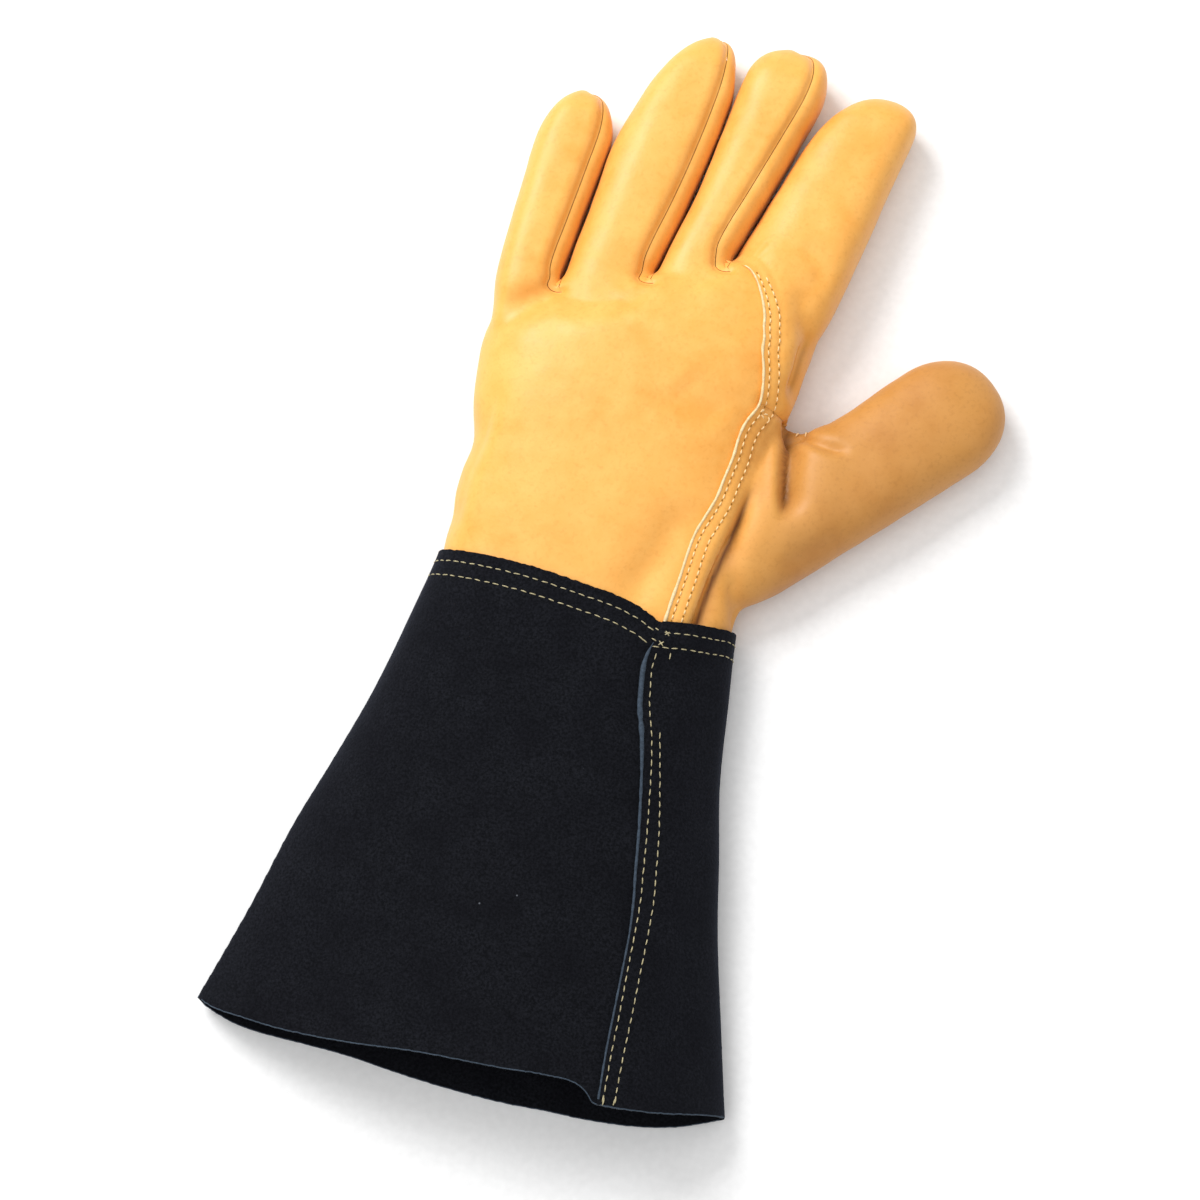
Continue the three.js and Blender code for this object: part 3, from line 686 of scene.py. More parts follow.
def trimWrist(obj):
    inCuff = [(-200, -60), (200, -60), (200, wristCut), (-200, wristCut)]
    return carve(obj, prism("wrist", inCuff, underAll, overAll), "DIFFERENCE")


backPanel = duplicate(lowerWall, "back_panel_leather")
carve(backPanel, prism("back", leftOf(lowerBorder), sideLevel + half, overAll), "INTERSECT")
palmPanel = duplicate(upperWall, "palm_panel_leather")
carve(palmPanel, prism("back", leftOf(upperBorder), sideLevel - half, overAll), "DIFFERENCE")
carve(palmPanel, thumbCutter(-half, -0.04), "DIFFERENCE")
for n in forks:
    for panel in (backPanel, palmPanel):
        carve(panel, forkCutter(n, -half), "DIFFERENCE")
thumbPanel = duplicate(upperWall, "thumb_panel_leather")
carve(thumbPanel, thumbCutter(0, 0.04), "INTERSECT")
forkNodes = ["fourchette_little_ring", "fourchette_ring_middle", "fourchette_middle_index"]
forkPieces = []
for n, node in zip(forks, forkNodes):
    forkPiece = duplicate(lowerWall, node + "_leather")
    carve(forkPiece, forkCutter(n, half), "INTERSECT")
    forkPieces.append(forkPiece)
for panel in (backPanel, palmPanel, thumbPanel):
    trimWrist(panel)
print("hand panels", [len(piece.data.polygons) for piece in (backPanel, palmPanel, thumbPanel)])
for spare in (lowerWall, upperWall):
    bpy.data.objects.remove(spare)

# The cuff, from its upper edge to its mouth. left, right and high are shares of the way from the
# wrist's size to the mouth's.
cuffForm = {
    "wristHalf": 55.48,
    "wristHigh": 32.68,
    "mouthHalf": 95.0,
    "mouthHigh": 43.0,
    "sections": [
        {"along": -0.03, "left": 0.013, "right": 0, "high": 0.07, "lean": 0},
        {"along": 0, "left": 0, "right": 0, "high": 0, "lean": 0},
        {"along": 0.14, "left": 0.105, "right": 0.085, "high": 0.1, "lean": 1.9},
        {"along": 0.31, "left": 0.25, "right": 0.207, "high": 0.3, "lean": 5.7},
        {"along": 0.45, "left": 0.415, "right": 0.36, "high": 0.45, "lean": 9.5},
        {"along": 0.6, "left": 0.605, "right": 0.52, "high": 0.6, "lean": 13.3},
        {"along": 0.79, "left": 0.79, "right": 0.78, "high": 0.8, "lean": 18},
        {"along": 1.05, "left": 1.09, "right": 1.15, "high": 1, "lean": 22.8},
    ],
    "roundness": [
        {"along": -0.03, "waist": 0.3, "dome": 2.35, "belly": 4},
        {"along": 0, "waist": 0.3, "dome": 2.35, "belly": 4},
        {"along": 0.14, "waist": 0.28, "dome": 2.2, "belly": 4},
        {"along": 0.31, "waist": 0.24, "dome": 2, "belly": 4},
        {"along": 0.45, "waist": 0.21, "dome": 1.85, "belly": 3.8},
        {"along": 0.6, "waist": 0.18, "dome": 1.7, "belly": 3.4},
        {"along": 0.79, "waist": 0.15, "dome": 1.58, "belly": 3},
        {"along": 1.05, "waist": 0.13, "dome": 1.48, "belly": 2.6},
    ],
    "lapWidth": 9.0,
    "lapRaise": 1.75,
    "sideLevel": 2.5,
    "mouthLevel": 6.0,
    "upperEdge": [
        (-68, 0.7), (-40, 0.7), (-19, 0.2), (0, -1.3), (11, -2.2), (16.5, -3.2), (21, -4.3), (25, -5.8),
        (28.2, -7.3), (32, -6.8), (38, -5.5), (43, -4.5), (48, -3.2), (52, -2), (56, -1.2), (68, -1),
    ],
    "mouthUnder": [
        (-120, -166), (-96, -173.7), (-90.4, -176.6), (-80.3, -179.4), (-70, -180.2), (-56.5, -180),
        (-38.5, -180), (-23.6, -181), (-5, -181.8), (17, -181.7), (33.6, -180.5), (47.8, -179.8),
        (65.4, -177.6), (80, -173.8), (95, -167.2), (120, -156),
    ],
    "mouthTop": [
        (-120, -165), (-96, -173.6), (-88, -176.5), (-77.6, -177.5), (-61, -178.3), (-37.5, -177.2),
        (-13.4, -174.5), (15.7, -172.6), (31.6, -170.9), (41, -170.7), (45.5, -172.4), (49.2, -175.6),
        (53.1, -175.7), (59.2, -175.1), (71.3, -173), (88.5, -168.4), (96, -166.5), (120, -156),
    ],
}
cuffLine = smoothPath([
    (52, -186), (50.6, -175), (49.7, -166.5), (48.8, -157), (48, -144), (47.1, -130), (46.2, -117),
    (44.6, -105), (43, -97), (40.5, -83), (38, -71), (35.3, -59), (32.4, -48.2), (29.5, -39.8), (27.9, -32),
    (26.9, -25), (27.1, -20), (28, -15.5), (29.2, -9), (30.8, 3.6),
], 1.2)


def makeCuff():
    form = cuffForm
    wrist, mouth = form["wristHalf"], form["mouthHalf"]

    def place(turn, share):
        along = -0.03 + 1.08 * share
        row = readTable(form["sections"], "along", along)
        section = {
            "left": -wrist - (mouth - wrist) * row["left"],
            "right": wrist + (mouth - wrist) * row["right"],
            "low": 0,
            "high": form["wristHigh"] + (form["mouthHigh"] - form["wristHigh"]) * row["high"],
            "lean": row["lean"],
        }
        x, z = sectionPoints(turn, section, readTable(form["roundness"], "along", along))
        return np.c_[x, -along * cuffLength, z]

    return roundForm("cuffForm", 160, 120, place)


cuffBody = voxelSkin(makeCuff(), 1.3)
applyModifier(cuffBody, "SMOOTH", factor=0.5, iterations=6)
corners, normals = readCorners(cuffBody), readNormals(cuffBody)
# The suede hangs in slow waves, and rises where it crosses the leather's own lap.
wave = np.array([noise.noise(Vector((c[0] / 38, c[1] / 55, c[2] / 30 + 4))) for c in corners])
wave = wave * smoothStep(corners[:, 2], 5, 14) * smoothStep(-corners[:, 1], 8, 40)
corners += normals * (1.1 * wave)[:, None]
overLap = sideDistance(corners[:, :2], lapEdge)[0]
crossing = smoothStep(overLap, -1.5, 1) * (1 - smoothStep(overLap, lap["fadeFrom"], lap["fadeTo"]))
crossing = crossing * (1 - smoothStep(-corners[:, 1], 11, 22))
corners += normals * (1.5 * crossing * onTop(corners, normals))[:, None]
writeCorners(cuffBody, corners)

cuffUpper = duplicate(cuffBody, "cuffUpper")
corners, normals = readCorners(cuffUpper), readNormals(cuffUpper)
distance = sideDistance(corners[:, :2], cuffLine)[0]
lift = np.where(distance > -5, 1 - smoothStep(distance, 11, 24), 0) * onTop(corners, normals)
# The edge curls up along the upper part of the seam.
curl = smoothStep(-corners[:, 1], 12, 22) * (1 - smoothStep(-corners[:, 1], 44, 70))
lift = lift + 0.85 * curl * clamp(1 - np.abs(distance) / 5) ** 2 * onTop(corners, normals)
writeCorners(cuffUpper, corners + normals * (lift * cuffForm["lapRaise"])[:, None])
for wall in (cuffBody, cuffUpper):
    applyModifier(wall, "SOLIDIFY", thickness=suedeWall * mm, offset=-1)


def raggedEdge(points, amount, seed):
    # cut by hand: coarse and fine unevenness, the same at each run
    line = smoothPath(points, 0.9)
    coarse = np.array([noise.noise((x / 2.1, seed, 0)) for x in line[:, 0]])
    fine = np.array([noise.noise((x / 0.9, seed, 5)) for x in line[:, 0]])
    return line + np.c_[np.zeros(len(line)), amount * (coarse + 0.6 * fine)]


upperCut = raggedEdge(cuffForm["upperEdge"], 0.4, 3)
mouthUnder = raggedEdge(cuffForm["mouthUnder"], 0.2, 8)
mouthTop = raggedEdge(cuffForm["mouthTop"], 0.2, 12)
level = cuffForm["sideLevel"]
overlapped = rightOf(shifted(cuffLine, cuffForm["lapWidth"]))
carve(cuffBody, prism("under", overlapped, level, overAll), "DIFFERENCE")
carve(cuffUpper, prism("over", rightOf(cuffLine), level - 0.05, overAll), "INTERSECT")
beyondTop = np.r_[mouthTop, [[120, -260], [-120, -260]]]
for wall in (cuffBody, cuffUpper):
    carve(wall, prism("trim", np.r_[upperCut, mouthUnder[::-1]], -5, overAll), "INTERSECT")
    carve(wall, prism("beyond", beyondTop, cuffForm["mouthLevel"], overAll), "DIFFERENCE")
cuffPiece = carve(cuffBody, cuffUpper, "UNION")
cuffPiece.name = "cuff_suede"
print("cuff", len(cuffPiece.data.polygons))


def markCutEdge(piece, lines, within=0.35):
    # the cut faces along these plan lines show the raw inside of the hide
    count = len(piece.data.polygons)
    centres, normals = np.empty(count * 3), np.empty(count * 3)
    piece.data.polygons.foreach_get("center", centres)
    piece.data.polygons.foreach_get("normal", normals)
    centres = centres.reshape(-1, 3) / mm - planOrigin
    upright = np.abs(normals.reshape(-1, 3)[:, 2]) < 0.5
    raw = np.zeros(count, int)
    for line in lines:
        off, reach, total = sideDistance(centres[:, :2], line)
        raw[(np.abs(off) < within) & upright & (reach > 0.01) & (reach < total - 0.01)] = 1
    piece.data.polygons.foreach_set("material_index", raw)


def treeOf(piece):
    return BVHTree.FromObject(piece, bpy.context.evaluated_depsgraph_get())


def topOf(trees, x, y):
    # the highest surface over a plan point: its height and its normal
    start = Vector(((x + planOrigin[0]) * mm, (y + planOrigin[1]) * mm, 0.2))
    best, facing = 0.0, Vector((0, 0, 1))
    for tree in trees:
        place, normal, _, _ = tree.ray_cast(start, Vector((0, 0, -1)))
        if place and place.z / mm > best:
            best, facing = place.z / mm, normal
    return best, facing


def rawEdgeRoll(name, path, trees, radius, inset, sink):
    # the pale cut thickness of the top layer, rolled a little over its edge
    inside = shifted(path, inset)
    run = np.arange(len(path)) * 1.2
    radii = radius(path[:, 1]) * (1 + 0.35 * np.array([noise.noise((s / 3.1, 0, 0)) for s in run]))
    heights = np.array([topOf(trees, *p)[0] for p in shifted(path, inset + math.copysign(0.15, inset))])
    for _ in range(2):
        heights[1:-1] = (heights[:-2] + 2 * heights[1:-1] + heights[2:]) / 4
    bpy.ops.object.select_all(action="DESELECT")
    bpy.ops.curve.primitive_nurbs_path_add()
    roll = bpy.context.object
    roll.name = name
    roll.data.splines.clear()
    spline = roll.data.splines.new("POLY")
    spline.points.add(len(path) - 1)
    places = (np.c_[inside, heights - sink * radii] + planOrigin) * mm
    spline.points.foreach_set("co", np.c_[places, np.ones(len(places))].ravel())
    spline.points.foreach_set("radius", radii)
    roll.data.bevel_depth = mm
    roll.data.bevel_resolution = 2
    roll.data.use_fill_caps = True
    pickOnly(roll)
    bpy.ops.object.convert(target="MESH")
    bpy.ops.object.shade_smooth()
    return roll


handTrees = [treeOf(piece) for piece in (backPanel, palmPanel, thumbPanel)]
cuffTrees = [treeOf(cuffPiece)]


def lapRadius(y):
    # thicker beside the cuff, thinner into the fork
    return (0.5 + 0.14 * smoothStep(-y, -14, 0)) * (1 - 0.45 * smoothStep(y, 112, 129))


def cuffRadius(y):
    # thickest where the edge curls up, thinner towards the mouth
    curled = smoothStep(-y, 14, 26) * (1 - 0.5 * smoothStep(-y, 42, 64))
    return 0.14 + 0.8 * curled * (1 - 0.35 * smoothStep(-y, 90, 120))


def mouthRadius(y):
    return np.full(len(y), 0.2)


lapShown = lapEdge[lapEdge[:, 1] > -7.8][:-2]
lapRoll = rawEdgeRoll("lap_raw_edge", lapShown, handTrees[1:], lapRadius, 0.3, 0.25)
cuffShown = cuffLine[(cuffLine[:, 1] < -14.5) & (cuffLine[:, 1] > -174.5)]
cuffRoll = rawEdgeRoll("cuff_raw_edge", cuffShown, cuffTrees, cuffRadius, 0.35, 0.35)
mouthRolls = []
for edge in (mouthTop, mouthUnder):
    mouthShown = edge[np.abs(edge[:, 0]) < 93.5]
    mouthRolls.append(rawEdgeRoll("mouth_raw_edge", mouthShown, cuffTrees, mouthRadius, -0.15, 0.3))
mouthRoll = joinAll(mouthRolls, "mouth_raw_edges")
print("raw edges")

# One stitch: a short thread, thickest in the middle, with its ends drawn into the hide.
handThread = {"pitch": 2.95, "length": 1.95, "thick": 0.62}
cuffThread = {"pitch": 3.45, "length": 2.6, "thick": 0.46}
bpy.ops.object.select_all(action="DESELECT")
bpy.ops.mesh.primitive_uv_sphere_add(segments=8, ring_count=6, radius=1)
stitchForm = bpy.context.object
stitchForm.name = "stitchForm"
stitchShape = np.empty(len(stitchForm.data.vertices) * 3)
stitchForm.data.vertices.foreach_get("co", stitchShape)
stitchShape = stitchShape.reshape(-1, 3)[:, [2, 0, 1]]


def placeForm(centre, along, facing, size, sag):
    facing = np.array(facing)
    across = np.cross(facing, along)
    across /= np.linalg.norm(across)
    along = np.cross(across, facing)
    x, y, z = stitchShape.T
    placed = np.outer(x * size[0], along) + np.outer(y * size[1], across)
    placed += np.outer(z * size[2] - sag * x ** 2, facing)
    copy = duplicate(stitchForm, "stitch")
    writeCorners(copy, placed + centre)
    return copy


def sewAt(places, thread):
    # a thread at each place, given by its centre, its direction and the surface's normal
    made = []
    for i, (centre, along, facing) in enumerate(places):
        turn = 0.09 * math.sin(i * 2.4)
        side = np.cross(facing, along)
        lie = np.array(along) * math.cos(turn) + side * math.sin(turn)
        reach = thread["length"] / 2 * (1 + 0.08 * math.sin(i * 1.7))
        size = (reach, thread["thick"] / 2, thread["thick"] / 2)
        made.append(placeForm(np.array(centre) + 0.12 * np.array(facing), lie, facing, size, 0.3))
    return made


def alongSeam(path, trees, pitch, start=0.5):
    # evenly spaced places on the surface under a plan line
    run = np.r_[0, np.cumsum(np.linalg.norm(np.diff(path, axis=0), axis=1))]
    places = []
    for s in np.arange(start * pitch, run[-1], pitch):
        x, y = np.interp(s, run, path[:, 0]), np.interp(s, run, path[:, 1])
        ends = [(np.interp(s + d, run, path[:, 0]), np.interp(s + d, run, path[:, 1])) for d in (-1, 1)]
        low, high = topOf(trees, *ends[0])[0], topOf(trees, *ends[1])[0]
        height, facing = topOf(trees, x, y)
        along = np.array([ends[1][0] - ends[0][0], ends[1][1] - ends[0][1], high - low])
        along /= np.linalg.norm(along)
        places.append(((x, y, (low + high + height) / 3), along, facing))
    return places


def finishSewing(made, name):
    sewn = joinAll(made, name)
    pickOnly(sewn)
    bpy.ops.object.shade_smooth()
    return sewn


narrowing = 1 - 0.4 * smoothStep(lapEdge[:, 1], 106, 127)
handRows, needleHoles = [], []
for offset, last in zip(lap["rows"], (126.5, 124)):
    row = shifted(lapEdge, offset * narrowing)
    row = row[(row[:, 1] > -6) & (row[:, 1] < last)]
    handRows += alongSeam(row, handTrees, handThread["pitch"])
    needleHoles += alongSeam(row, handTrees, handThread["pitch"], 0)
for x, y, turn in ((44, 76.7, 0.9), (44.8, 74.9, -0.5), (45.7, 76.1, 0.4), (47.2, 75, -0.9)):
    height, facing = topOf(handTrees, x, y)
    handRows.append(((x, y, height), (math.cos(turn), math.sin(turn), 0), facing))
for x, y, lean in ((58.2, 75.6, 0.3), (61.2, 76.2, 0.05)):
    height, facing = topOf(handTrees, x, y - 0.7)
    handRows.append(((x, y, height + 0.2), (lean, 1, -0.25), (0, 0, 1)))
handSewing = finishSewing(sewAt(handRows, handThread), "hand_stitching")
# Each needle hole gets a flat dark dot of painted shade, for the shadow inside it.
holeSize = (0.46, 0.4, 0.13)
holes = [placeForm(np.array(centre), along, facing, holeSize, 0) for centre, along, facing in needleHoles]
needleHoleShadeDots = finishSewing(holes, "needle_holes")

# The rows beside the cuff's seam run from its upper edge to its mouth. The far one dips out of sight
# below the wrist.
seamRows = [
    {"y": -181, "near": 1.9, "far": 5.8},
    {"y": -150, "near": 2.3, "far": 6.5},
    {"y": -119, "near": 2.1, "far": 6.6},
    {"y": -100, "near": 2.9, "far": 7.4},
    {"y": -80, "near": 3.2, "far": 7.3},
    {"y": -56, "near": 3.7, "far": 6.6},
    {"y": -38, "near": 3.7, "far": 6.8},
    {"y": -17, "near": 3.1, "far": 6.2},
]
cuffRows = []
for name, first in (("near", -17), ("far", -45)):
    offsets = readTable(seamRows, "y", clamp(cuffLine[:, 1], -181, -17))[name]
    row = shifted(cuffLine, offsets)
    row = row[(row[:, 1] < first) & (row[:, 1] > -175.2)]
    cuffRows += alongSeam(row, cuffTrees, cuffThread["pitch"])
for x, y in ((35.2, -18.6), (52.3, -173.4), (52.7, -174.4), (56.5, -172.6), (56.2, -173.6)):
    height, facing = topOf(cuffTrees, x, y)
    cuffRows.append(((x, y, height + 0.15), (0.05, -1, 0), facing))
cuffSewing = finishSewing(sewAt(cuffRows, cuffThread), "cuff_seam_stitching")


def roundTheWrist(below):
    # evenly spaced places round the cuff, a set distance below its upper edge
    edge = smoothPath(cuffForm["upperEdge"], 1)
    middle = Vector(((planOrigin[0]) * mm, 0, 0.014))
    found = []
    for turn in np.linspace(-0.02 * math.pi, 1.02 * math.pi, 500):
        x = 50 * math.cos(turn)
        for _ in range(4):
            middle.y = (np.interp(x, edge[:, 0], edge[:, 1]) - below + planOrigin[1]) * mm
            way = Vector((math.cos(turn), 0, math.sin(turn)))
            place, normal, _, _ = cuffTrees[0].ray_cast(middle + way * 0.2, -way)
            if place:
                x = place.x / mm - planOrigin[0]
        if place:
            found.append((np.array(place) / mm - planOrigin, np.array(normal)))
    line = np.array([f[0] for f in found])
    run = np.r_[0, np.cumsum(np.linalg.norm(np.diff(line, axis=0), axis=1))]
    places = []
    for s in np.arange(1, run[-1] - 1, cuffThread["pitch"]):
        i = min(int(np.searchsorted(run, s)), len(found) - 3)
        along = line[i + 2] - line[i - 2]
        places.append((line[i], along / np.linalg.norm(along), found[i][1]))
    return places


# Two rows below the cuff's upper edge, and the stitches where they meet over the lap.
bandRows = roundTheWrist(4.2) + roundTheWrist(9.6)
for x, y, turn in (
    (28.4, -10.2, -0.3), (28.6, -14.6, -0.3), (32.3, -11.2, 0.8), (32.3, -11.2, -0.7), (31, -15.2, 0.7),
    (31, -15.2, -0.6),
):
    height, facing = topOf(cuffTrees, x, y)
    bandRows.append(((x, y, height), (math.cos(turn), math.sin(turn), 0), facing))
bandSewing = finishSewing(sewAt(bandRows, cuffThread), "cuff_band_stitching")
bpy.data.objects.remove(stitchForm)
print("stitches", len(handRows), len(cuffRows), len(bandRows))

for piece, node, slot in (
    (backPanel, "back_panel", "grain_leather"),
    (palmPanel, "palm_panel", "grain_leather"),
    (thumbPanel, "thumb_panel", "thumb_leather"),
    (cuffPiece, "cuff", "suede"),
    *((piece, node, "grain_leather") for piece, node in zip(forkPieces, forkNodes)),
):
    pickOnly(piece)
    bpy.ops.object.shade_smooth_by_angle(angle=math.radians(50))
    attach(piece, "root")
    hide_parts(node)
for piece, slot in (
    (lapRoll, "grain_leather"),
    (cuffRoll, "suede"),
    (mouthRoll, "suede"),
    (handSewing, "grain_leather"),
    (needleHoleShadeDots, "grain_leather"),
    (cuffSewing, "suede"),
    (bandSewing, "suede"),
):
    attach(piece, "root")


def hexColour(code):
    parts = [int(code[i:i + 2], 16) / 255 for i in (0, 2, 4)]
    return tuple(p / 12.92 if p <= 0.04045 else ((p + 0.055) / 1.055) ** 2.4 for p in parts) + (1,)


def addNode(tree, kind, settings, inputs):
    # an input takes another node's output, an sRGB code or a number
    node = tree.nodes.new("ShaderNode" + kind)
    for name, value in settings.items():
        setattr(node, name, value)
    for name, value in inputs.items():
        if isinstance(value, bpy.types.NodeSocket):
            tree.links.new(value, node.inputs[name])
        else:
            node.inputs[name].default_value = hexColour(value) if isinstance(value, str) else value
    return node


def newMaterial(name, shader):
    material = bpy.data.materials.new(name)
    material.use_nodes = True
    tree = material.node_tree
    surface = tree.nodes["Principled BSDF"]
    for key, value in shader.items():
        surface.inputs[key].default_value = hexColour(value) if isinstance(value, str) else value
    place = addNode(tree, "TexCoord", {}, {}).outputs["Object"]
    return material, tree, surface, place


def addPattern(tree, place, row):
    # soft patches and the mask faded out of them
    cloud = addNode(tree, "TexNoise", {}, {
        "Vector": place, "Scale": 1 / (row["size"] * mm), "Detail": row["detail"], "Roughness": row["coarse"],
    }).outputs["Fac"]
    mask = addNode(tree, "MapRange", {}, {
        "Value": cloud, "From Min": row["low"], "From Max": row["high"], "To Max": row["amount"],
    }).outputs["Result"]
    return cloud, mask


def layTones(tree, surface, colour, layers):
    # each tone lies over the ones before it, where its mask lets it
    for mask, tone in layers:
        colour = addNode(tree, "Mix", {"data_type": "RGBA"}, {0: mask, 6: colour, 7: tone}).outputs[2]
    tree.links.new(colour, surface.inputs["Base Color"])


def layRelief(tree, surface, layers):
    # bumps of so many millimetres, each over the ones before it
    normal = {}
    for height, strength, depth in layers:
        inputs = {"Height": height, "Strength": strength, "Distance": depth * mm, **normal}
        normal = {"Normal": addNode(tree, "Bump", {}, inputs).outputs["Normal"]}
    tree.links.new(normal["Normal"], surface.inputs["Normal"])


# size is the width of one patch in millimetres, low and high are where its noise fades in.
leatherPatterns = {
    "clouds": {"size": 34, "detail": 3, "coarse": 0.5, "low": 0.36, "high": 0.66, "amount": 1},
    "patches": {"size": 9, "detail": 3, "coarse": 0.6, "low": 0.35, "high": 0.7, "amount": 1},
    "specks": {"size": 1.6, "detail": 2, "coarse": 0.6, "low": 0.52, "high": 0.78, "amount": 0.3},
}
leatherGrain = {"pebble": 1.0, "pebbleDepth": 0.07, "crease": 5, "creaseDepth": 0.16}
# Where the painted shade over the root of the thumb begins and ends, in plan.
thumbShadeFrom, thumbShadeTo = 34, 66
# The brown of the painted shade that falls in sharp folds.
paintedFoldShadeColour = "6e3d12"


def paintFoldShade(piece):
    # painted shade: how dark each sharp fold is drawn, for the shade that falls in it, kept at the piece's
    # corners for its material
    corners = readCorners(piece)
    shade = np.zeros(len(corners))
    for fold in handFolds:
        if "shade" in fold:
            off, kept = besideFold(corners, fold)
            wide = np.where(off > 0, fold["shadeRight"], fold["shadeLeft"])
            shade = np.maximum(shade, fold["shade"] * np.exp(-(off / wide) ** 2) * kept)
    layer = piece.data.attributes.new("foldShade", "FLOAT", "POINT")
    layer.data.foreach_set("value", shade * smoothStep(corners[:, 2], 8, 13))


def tannedLeather(name, tones, beyond, rough):
    # Smooth full-grain cowhide, drum dyed and lightly waxed: cloudy golden tone, a broad soft shine
    # and a fine pebbled grain. Its real grain is about 0.6 mm, drawn at 1 mm so that it shows.
    # Over the root of the thumb the tones pass from the first set to the second, as painted shade where the
    # thumb turns away from the light.
    material, tree, surface, place = newMaterial(name, {
        "IOR": 1.46, "Metallic": 0.0, "Sheen Weight": 0.12, "Sheen Roughness": 0.5, "Sheen Tint": "ffe0c8",
    })
    x = addNode(tree, "SeparateXYZ", {}, {"Vector": place}).outputs["X"]
    # Painted shade: the colour darkens towards the thumb, which faces away from the light.
    towardsThumbShade = addNode(tree, "MapRange", {}, {
        "Value": x,
        "From Min": (thumbShadeFrom + planOrigin[0]) * mm,
        "From Max": (thumbShadeTo + planOrigin[0]) * mm,
    }).outputs["Result"]
    mixed = []
    for first, second in zip(tones, beyond):
        mixed.append(addNode(tree, "Mix", {"data_type": "RGBA"}, {0: towardsThumbShade, 6: first, 7: second}).outputs[2])
    masks = {key: addPattern(tree, place, row)[1] for key, row in leatherPatterns.items()}
    faint = addNode(tree, "Math", {"operation": "MULTIPLY"}, {0: masks["patches"], 1: 0.45}).outputs[0]
    # Painted shade: the sharp folds darken towards the brown of their shade.
    paintedFoldShadeMask = addNode(tree, "Attribute", {"attribute_name": "foldShade"}, {}).outputs["Fac"]
    over = (masks["clouds"], faint, masks["specks"], paintedFoldShadeMask)
    layTones(tree, surface, mixed[0], zip(over, (*mixed[1:], paintedFoldShadeColour)))
    dull = addNode(tree, "MapRange", {}, {"Value": masks["patches"], "To Min": rough[0], "To Max": rough[1]})
    tree.links.new(dull.outputs["Result"], surface.inputs["Roughness"])
    pebbles = addNode(tree, "TexVoronoi", {"feature": "SMOOTH_F1"}, {
        "Vector": place, "Scale": 1 / (leatherGrain["pebble"] * mm),
    }).outputs["Distance"]
    creases = addNode(tree, "TexNoise", {}, {
        "Vector": place, "Scale": 1 / (leatherGrain["crease"] * mm), "Detail": 4, "Roughness": 0.6,
    }).outputs["Fac"]
    layRelief(tree, surface, (
        (creases, 0.5, leatherGrain["creaseDepth"]),
        (pebbles, 0.35, leatherGrain["pebbleDepth"]),
    ))
    return material


grainTones = ("eeaa4e", "e79f42", "f3b962", "cb8630")
# Darker tones of the thumb: painted shade, for the thumb facing away from the light.
thumbShadedTones = ("c4883e", "b67832", "cb914c", "9c6426")
grainLeather = tannedLeather("tannedGrainLeather", grainTones, grainTones, (0.4, 0.52))
thumbShadedLeather = tannedLeather("tannedThumbLeatherPaintedShade", grainTones, thumbShadedTones, (0.46, 0.58))

# Split suede dyed blue black and napped: no shine, a fine mottled pile that lightens where it is
# seen along the surface, and a few caught specks of lint. The pile is drawn at 0.9 mm.
suedePatterns = {
    "pile": {"size": 0.9, "detail": 3, "coarse": 0.7, "low": 0.38, "high": 0.68, "amount": 1},
    "brushed": {"size": 16, "detail": 3, "coarse": 0.6, "low": 0.35, "high": 0.68, "amount": 0.5},
}
# Each place for a speck of lint draws a number up to 1, and stays bare below the first share.
lintForm = {"apart": 11, "from": 0.022, "to": 0.034, "bare": 0.82, "linted": 0.83}
suedeNap, tree, surface, place = newMaterial("nappedSplitSuede", {
    "IOR": 1.35, "Metallic": 0.0, "Roughness": 1.0, "Specular IOR Level": 0.12,
    "Sheen Weight": 0.2, "Sheen Roughness": 0.45, "Sheen Tint": "7f87a0",
})
pile, tips = addPattern(tree, place, suedePatterns["pile"])
stroked = addPattern(tree, place, suedePatterns["brushed"])[1]
cells = addNode(tree, "TexVoronoi", {"feature": "F1"}, {
    "Vector": place, "Scale": 1 / (lintForm["apart"] * mm),
})
dot = addNode(tree, "MapRange", {}, {
    "Value": cells.outputs["Distance"],
    "From Min": lintForm["from"],
    "From Max": lintForm["to"],
    "To Min": 1,
    "To Max": 0,
}).outputs["Result"]
chance = addNode(tree, "SeparateColor", {}, {"Color": cells.outputs["Color"]}).outputs["Red"]
chosen = addNode(tree, "MapRange", {}, {
    "Value": chance, "From Min": lintForm["bare"], "From Max": lintForm["linted"],
})
lint = addNode(tree, "Math", {"operation": "MULTIPLY"}, {0: dot, 1: chosen.outputs["Result"]}).outputs[0]
layTones(tree, surface, "0a0b0e", ((tips, "1b1c21"), (stroked, "0a0a0e"), (lint, "54575d")))
layRelief(tree, surface, ((pile, 0.7, 0.3),))


def mottled(name, shader, tones, mottle, relief):
    # two tones that pass into each other in small patches, and their relief if they have any
    material, tree, surface, place = newMaterial(name, {"Metallic": 0.0, **shader})
    patches, mask = addPattern(tree, place, mottle)
    layTones(tree, surface, tones[0], ((mask, tones[1]),))
    if relief:
        layRelief(tree, surface, ((patches, *relief),))
    return material


# The cut edge of a hide: undyed or half dyed fibres, dry and matt.
rawHide = {"IOR": 1.4, "Roughness": 0.85}
hideRelief = (0.6, 0.2)  # how strong it is, and how deep in millimetres
hideFibres = {"size": 1.2, "detail": 3, "coarse": 0.7, "low": 0.35, "high": 0.65, "amount": 1}
leatherCut = mottled("cutLeatherEdge", rawHide, ("ead3a8", "d8bb88"), hideFibres, hideRelief)
suedeCut = mottled("cutSuedeEdge", rawHide, ("27323e", "3b4856"), hideFibres, hideRelief)

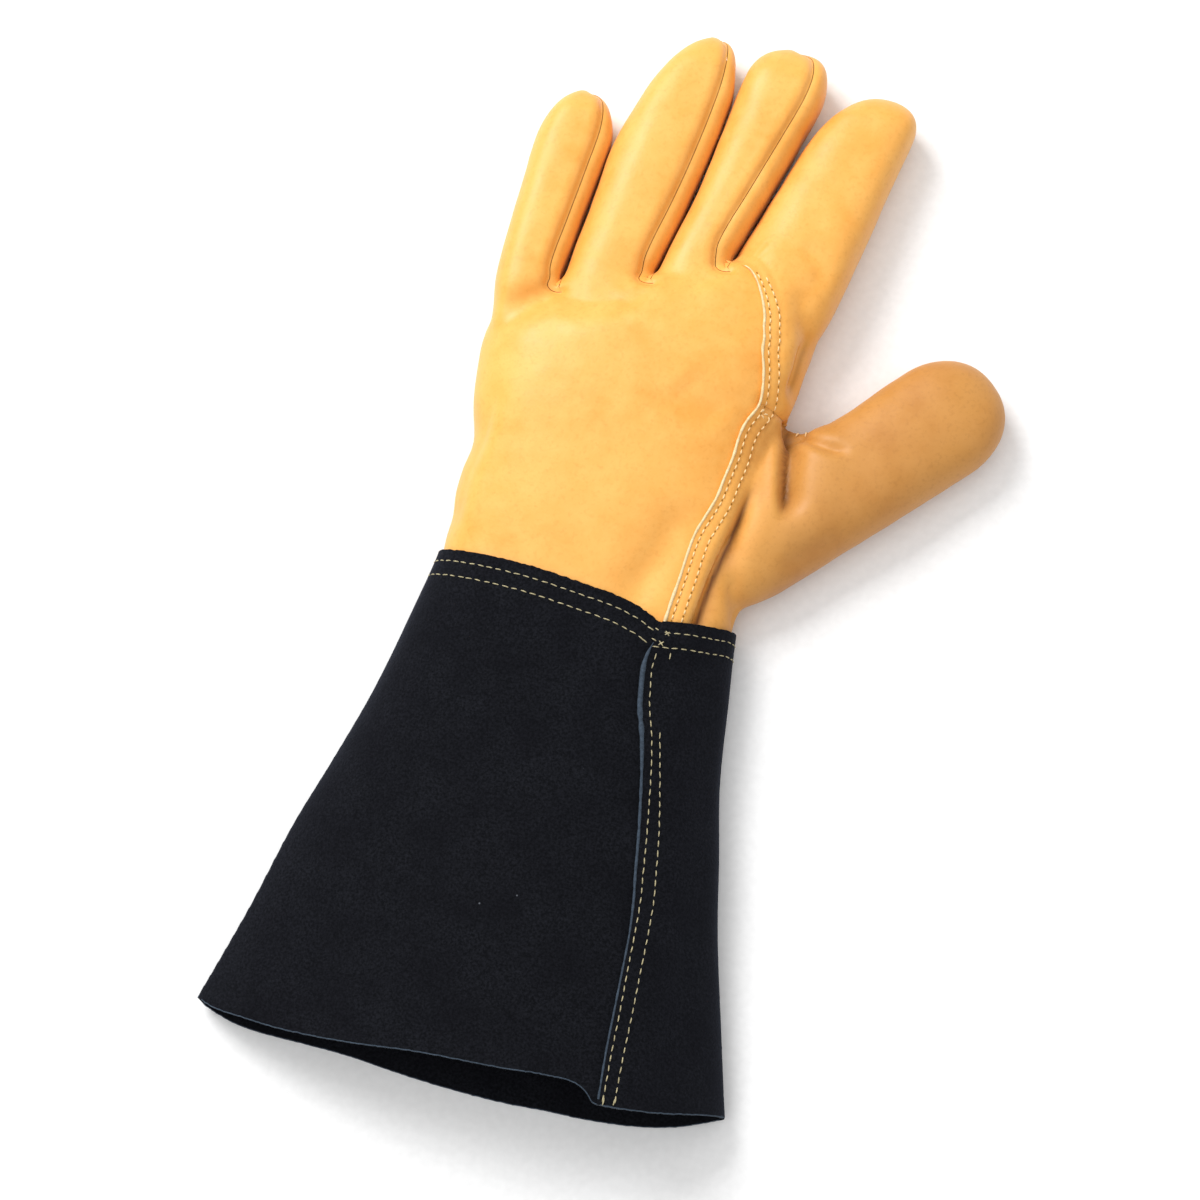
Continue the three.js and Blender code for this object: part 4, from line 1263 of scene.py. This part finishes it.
# Spun polyester thread with a slight lustre, mottled by its twist.
spunThread = {"IOR": 1.5, "Roughness": 0.6}
threadRelief = (0.5, 0.1)
threadTwist = {"size": 0.5, "detail": 2, "coarse": 0.5, "low": 0.35, "high": 0.65, "amount": 1}
warmThread = mottled("spunPolyesterWarmThread", spunThread, ("f6d8a4", "e6bd80"), threadTwist, threadRelief)
greyThread = mottled("spunPolyesterGreyThread", spunThread, ("bcb189", "908768"), threadTwist, threadRelief)

# Pricked holes: dark dots of painted shade, for the shadow inside each hole.
holeShine = {"IOR": 1.4, "Roughness": 0.9}
holeShadeMottle = {"size": 1.5, "detail": 2, "coarse": 0.5, "low": 0.35, "high": 0.65, "amount": 1}
needleHoleShade = mottled("needleHoleShade", holeShine, ("9a6822", "b27c30"), holeShadeMottle, None)

for piece, finish, cut in (
    *((panel, grainLeather, leatherCut) for panel in (backPanel, palmPanel, *forkPieces)),
    (thumbPanel, thumbShadedLeather, leatherCut),
    (cuffPiece, suedeNap, suedeCut),
):
    piece.data.materials.clear()
    piece.data.materials.append(finish)
    piece.data.materials.append(cut)
# Painted shade in the sharp folds of the hand's panels.
for piece in (backPanel, palmPanel, thumbPanel):
    paintFoldShade(piece)
markCutEdge(palmPanel, [lapEdge])
markCutEdge(thumbPanel, [lapEdge])
markCutEdge(cuffPiece, [cuffLine, mouthUnder, mouthTop])
for piece, finish in (
    (lapRoll, leatherCut),
    (cuffRoll, suedeCut),
    (mouthRoll, suedeCut),
    (handSewing, warmThread),
    (needleHoleShadeDots, needleHoleShade),
    (cuffSewing, greyThread),
    (bandSewing, greyThread),
):
    piece.data.materials.clear()
    piece.data.materials.append(finish)

# The camera looks at a point a little to the right of the wrist and below it.
shot = {"azimuth": 15.0, "elevation": 78.0, "distance": 1190.0, "lens": 100.0, "right": 4.64, "down": 3.21}
azimuth, elevation = math.radians(shot["azimuth"]), math.radians(shot["elevation"])
level = math.cos(elevation)
back = Vector((math.sin(azimuth) * level, -math.cos(azimuth) * level, math.sin(elevation)))
right = Vector((math.cos(azimuth), math.sin(azimuth), 0))
up = back.cross(right)
aim = Vector((0, 0, 15)) + right * shot["right"] - up * shot["down"] + Vector(planOrigin)
camera = bpy.data.objects.new("camera", bpy.data.cameras.new("camera"))
bpy.context.collection.objects.link(camera)
camera.data.lens = shot["lens"]
camera.data.sensor_width = 36
camera.data.clip_end = 20
turned = Matrix((right, up, back)).transposed().to_4x4()
camera.matrix_world = Matrix.Translation((aim + back * shot["distance"]) * mm) @ turned
bpy.context.scene.camera = camera
bpy.context.scene.view_settings.view_transform = "Standard"

bpy.ops.object.select_all(action="DESELECT")
bpy.ops.mesh.primitive_plane_add(size=6)
floor = bpy.context.object
floor.name = "floor"
# Plain paper: matt and nearly white.
paperFlecks = {"size": 3, "detail": 2, "coarse": 0.5, "low": 0.3, "high": 0.7, "amount": 1}
paper = mottled("palePaper", {"Roughness": 0.9}, ("f6f6f6", "f1f1f1"), paperFlecks, None)
floor.data.materials.append(paper)

lights = {
    "window": {"at": (-1.0, 0.75, 1.15), "size": 0.8, "power": 24.5},
    "ceiling": {"at": (-0.2, -0.2, 1.9), "size": 2.0, "power": 12},
}
for name, light in lights.items():
    data = bpy.data.lights.new(name, "AREA")
    data.shape = "SQUARE"
    data.size = light["size"]
    data.energy = light["power"]
    lamp = bpy.data.objects.new(name, data)
    bpy.context.collection.objects.link(lamp)
    lamp.location = light["at"]
    lamp.rotation_euler = Vector(light["at"]).to_track_quat("Z", "Y").to_euler()
world = bpy.data.worlds.new("room")
bpy.context.scene.world = world
world.use_nodes = True
world.node_tree.nodes["Background"].inputs["Color"].default_value = (1, 1, 1, 1)
world.node_tree.nodes["Background"].inputs["Strength"].default_value = 0.62
